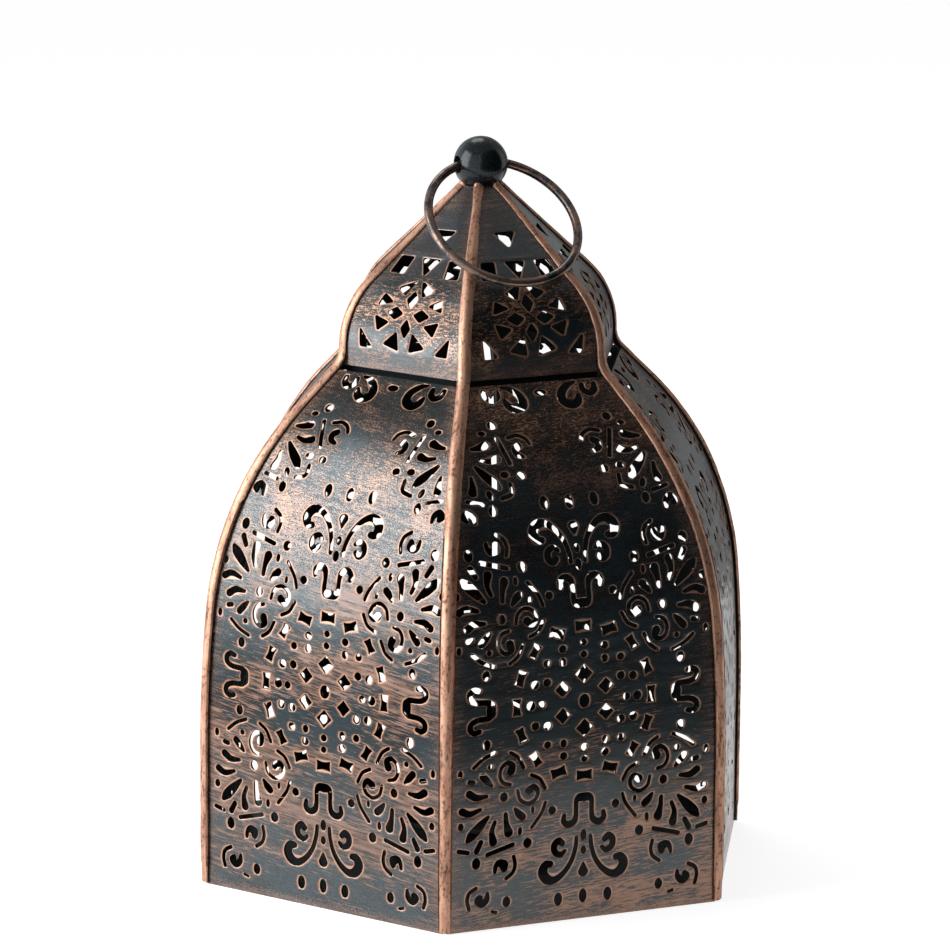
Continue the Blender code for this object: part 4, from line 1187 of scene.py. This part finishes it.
def make_base(finish):
    """A pressed hexagonal plate inside the walls, and the cup that holds the candle."""
    fresh()
    reach = (WALL_APOTHEM - SHEET - SEAT_GAP) / COS30
    bpy.ops.mesh.primitive_cylinder_add(
        vertices=len(SIDES), radius=reach * MM, depth=BASE_THICK * MM,
        location=(0.0, 0.0, BASE_THICK / 2.0 * MM), rotation=(0.0, 0.0, radians(30)))
    base = named("base_sheet")
    settle(base)
    edit(base, "FACE")
    for up in (1.0, -1.0):
        bpy.ops.mesh.select_all(action="DESELECT")
        shut()
        caps = [face for face in base.data.polygons if face.normal.z * up > 0.9]
        max(caps, key=lambda face: face.area).select = True
        bpy.ops.object.mode_set(mode="EDIT")
        bpy.ops.mesh.inset(thickness=BASE_RIM * MM)
        bpy.ops.mesh.inset(thickness=BASE_SLOPE * MM)
        bpy.ops.transform.translate(value=(0.0, 0.0, BASE_LIFT * MM))
    shut()
    with_modifier(base, "BEVEL", width=0.2 * MM, segments=2, limit_method="ANGLE",
                  angle_limit=radians(50))
    smooth(base, 35)
    dress(base, "frame", "dark_iron", finish, "base_plate")

    low = CUP_FLOOR
    cup = turned("candle_cup_pressed", [
        (0.0, low + 0.9), (19.3, low + 0.9), (20.2, low + 1.2), (20.5, low + 2.1), (20.5, 10.2),
        (20.8, 11.0), (21.6, 11.5), (22.5, 11.4), (23.0, 11.0), (22.7, 10.6), (22.0, 10.6), (21.5, 10.2),
        (21.4, 9.6), (21.4, low + 1.2), (21.0, low + 0.3), (20.2, low), (0.0, low)], 72)
    dress(cup, "frame", "dark_iron", finish, "candle_cup")


def seat(obj, place, turn, body, finish, node):
    move(obj, place, turn)
    dress(obj, body, "dark_iron", finish, node)


def rivet(place, radius=0.95, height=0.55):
    """A domed head on the outer face of the door."""
    head = turned("strap_rivet", [
        (0.0, height), (radius * 0.45, height * 0.9), (radius * 0.8, height * 0.6),
        (radius, height * 0.15), (radius, -0.2), (0.0, -0.2)], 24)
    return move(head, place, LAID_BACK)


def make_hinges(finish):
    """Two strap hinges: a knuckle on the rib, a leaf riveted to the door, and a headed pin."""
    x0, y0 = HINGE_AXIS
    under = WALL_APOTHEM + SEAT_GAP - y0
    over = under + LEAF_THICK
    step = WALL_APOTHEM + RIB_RISE + SEAT_GAP - y0
    edge = BODY_CORNER / 2.0 - DOOR_SETBACK - x0
    bend = edge - LEAF_THICK
    sweep = np.radians(np.arange(152, -153, -16))
    curl = [(KNUCKLE_RADIUS * cos(a), KNUCKLE_RADIUS * sin(a)) for a in sweep]
    far = edge - LEAF_REACH
    strap = [(far, under), (far, over), (bend - 0.4, over), (bend, over + 0.4),
             (bend, step + LEAF_THICK - 0.3), (bend + 0.4, step + LEAF_THICK)]
    strap += curl + [(edge, step), (edge, under)]
    bore = PIN_RADIUS + SEAT_GAP
    half = KNUCKLE_RADIUS - 0.2
    tall = KNUCKLE_LENGTH
    top = 2.0 * tall + 2.0 * SEAT_GAP
    barrel = [(bore, 0.15), (bore, tall - 0.15), (bore + 0.15, tall), (half, tall),
              (KNUCKLE_RADIUS, tall - 0.2), (KNUCKLE_RADIUS, 0.2), (half, 0.0), (bore + 0.15, 0.0),
              (bore, 0.15)]
    peg = [(0.0, top + 1.0), (0.7, top + 0.92), (1.15, top + 0.65), (1.4, top + 0.2), (1.4, top),
           (PIN_RADIUS, top), (PIN_RADIUS, 0.25), (PIN_RADIUS - 0.2, 0.0), (0.0, 0.0)]
    for label, height in HINGE_HEIGHTS.items():
        middle = height + tall * 1.5 + SEAT_GAP
        leaf = plate("hinge_strap_" + label, [strap, oval(0.0, 0.0, bore)], tall, 0.16)
        move(leaf, (x0, y0, middle))
        join(leaf, *[rivet((x0 + edge - along, y0 + under + LEAF_THICK, middle)) for along in RIVETS_AT])
        smooth(leaf, 35)
        dress(leaf, "door", "dark_iron", finish, "hinge_leaf_" + label)
        foot = (x0, y0, height)
        knuckle = turned("hinge_barrel_" + label, barrel, 32)
        seat(knuckle, foot, UPRIGHT, "frame", finish, "hinge_knuckle_" + label)
        pin = turned("hinge_peg_" + label, peg, 28)
        seat(pin, foot, UPRIGHT, "frame", finish, "hinge_pin_" + label)


def make_fittings(finish):
    """The door's knob, and the turn button on its stud."""
    stem, ball = KNOB_STEM, KNOB_RADIUS
    turns = np.radians([18, 36, 54, 72, 90, 108, 126, 143])
    knob = turned("door_pull", [(0.0, stem + 1.8 * ball)] + [
        (ball * sin(a), stem + ball * (0.8 + cos(a))) for a in turns] + [
        (1.1, stem), (1.0, stem * 0.6), (1.2, stem * 0.3), (1.76, 0.12), (1.76, 0.0), (0.0, 0.0)], 36)
    seat(knob, KNOB_PLACE, LAID_BACK, "door", finish, "door_knob")

    x, height = LATCH_PLACE
    rise = WALL_APOTHEM + RIB_RISE + SEAT_GAP
    low = STUD_COLLAR
    shank = low + BUTTON_THICK + 2.0 * SEAT_GAP
    stud = turned("latch_rivet", [
        (0.0, shank + 0.9), (0.9, shank + 0.82), (1.6, shank + 0.5), (2.0, shank + 0.12), (1.9, shank),
        (1.1, shank), (1.1, low), (1.9, low), (2.0, low - 0.15), (2.0, 0.0), (0.0, 0.0)], 32)
    seat(stud, (x, rise, height), LAID_BACK, "frame", finish, "latch_stud")

    half, reach = BUTTON_HALF, BUTTON_REACH
    upper = np.radians(np.arange(0, 181, 15))
    lower = np.radians(np.arange(180, 361, 15))
    shape = [(half * cos(a), half * sin(a)) for a in upper]
    shape += [(-half * 0.72, -reach * 0.45)]
    shape += [(0.75 * half * cos(a), 0.75 * half * sin(a) - reach) for a in lower]
    shape += [(half * 0.72, -reach * 0.45)]
    button = plate("latch_turn", [shape, oval(0.0, 0.0, 1.4)], BUTTON_THICK, 0.18)
    smooth(button, 35)
    rise += low + SEAT_GAP + BUTTON_THICK / 2.0
    seat(button, (x, rise, height), (QUARTER, 0.0, 0.0), "button", finish, "latch_button")


# Light, floor and surroundings, in metres

# name, place on the floor, turn in degrees, width, height, shade
BOARDS = [("right_board", (0.14, -0.27), 24.4, 0.75, 0.60, 0.02),
          ("rear_board", (0.19, 0.26), 144.0, 0.60, 0.50, 0.52)]
# name, place, aim, width, height, power, colour
SOFTBOXES = [("left_softbox", (-0.62, 0.10, 0.345), (0.0, 0.0, 0.145), 0.50, 0.66, 5.5, COOL),
             ("top_softbox", (0.10, 0.55, 0.95), (0.0, 0.0, 0.10), 0.4, 0.4, 1.5, WHITE)]
FLOOR_SIZE = 8.0
FLOOR_SHADE = 0.60
FLOOR_GLOW = 0.86
# the sky's height from level to overhead, and its strength there
SKY_RISE = (0.25, 0.85)
SKY_STRENGTH = (1.0, 0.34)
SKY_UNSEEN = 0.30


def softbox(name, place, aim, width, height, power, colour):
    lamp = bpy.data.lights.new(name, "AREA")
    lamp.shape = "RECTANGLE"
    lamp.size = width
    lamp.size_y = height
    lamp.energy = power
    lamp.color = colour
    holder = linked(bpy.data.objects.new(name, lamp))
    holder.location = place
    holder.rotation_euler = (Vector(place) - Vector(aim)).to_track_quat("Z", "Y").to_euler()


def flat_board(name, size):
    fresh()
    bpy.ops.mesh.primitive_grid_add(x_subdivisions=2, y_subdivisions=2, size=size,
                                    location=(0.0, 0.0, 0.0))
    return named(name)


def dark_board(name, place, turn, width, height, shade):
    """A board that darkens what the metal mirrors; the camera does not see it."""
    board = flat_board(name, 1.0)
    board.scale = (width, height, 1.0)
    board.rotation_euler = (QUARTER, 0.0, radians(turn))
    board.location = (*place, height / 2.0)
    settle(board)
    board.data.materials.append(Finish(name).done(Base_Color=(shade, shade, shade), Roughness=0.9))
    board.visible_camera = False
    board.visible_shadow = False


def set_stage():
    floor = flat_board("pale_floor", FLOOR_SIZE)
    paint = Finish("pale_floor")
    floor.data.materials.append(paint.done(
        Base_Color=(FLOOR_SHADE, FLOOR_SHADE, FLOOR_SHADE), Roughness=0.9, Specular_IOR_Level=0.1,
        Emission_Color=WHITE, Emission_Strength=paint.seen() * FLOOR_GLOW))
    for board in BOARDS:
        dark_board(*board)
    sky = Finish("studio", "worlds", "Background")
    rise = sky.part_of(sky.node("TexCoord", output="Generated"), "Z")
    level = sky.step(rise, *SKY_RISE, *SKY_STRENGTH) * sky.step(sky.seen(), 0.0, 1.0, SKY_UNSEEN)
    bpy.context.scene.world = sky.done(Color=WHITE, Strength=level)
    for box in SOFTBOXES:
        softbox(*box)
    bpy.context.scene.view_settings.view_transform = "Standard"


set_camera()
iron = plain_iron()
walls = make_walls(rubbed_sheet("rubbed_wall", **WALL_LOOK))
roofs = make_roof(rubbed_sheet("rubbed_roof", **ROOF_LOOK))
vary(walls + roofs)
make_ribs(rubbed_rib())
make_ball(dark_wire("ball_finish", copper_low=0.60, copper_high=0.74, rough=0.14, shine=0.35))
make_ring(dark_wire("ring_finish", copper_low=0.41, copper_high=0.57, rough=0.14, shine=0.6))
make_base(iron)
make_hinges(iron)
make_fittings(iron)
set_stage()
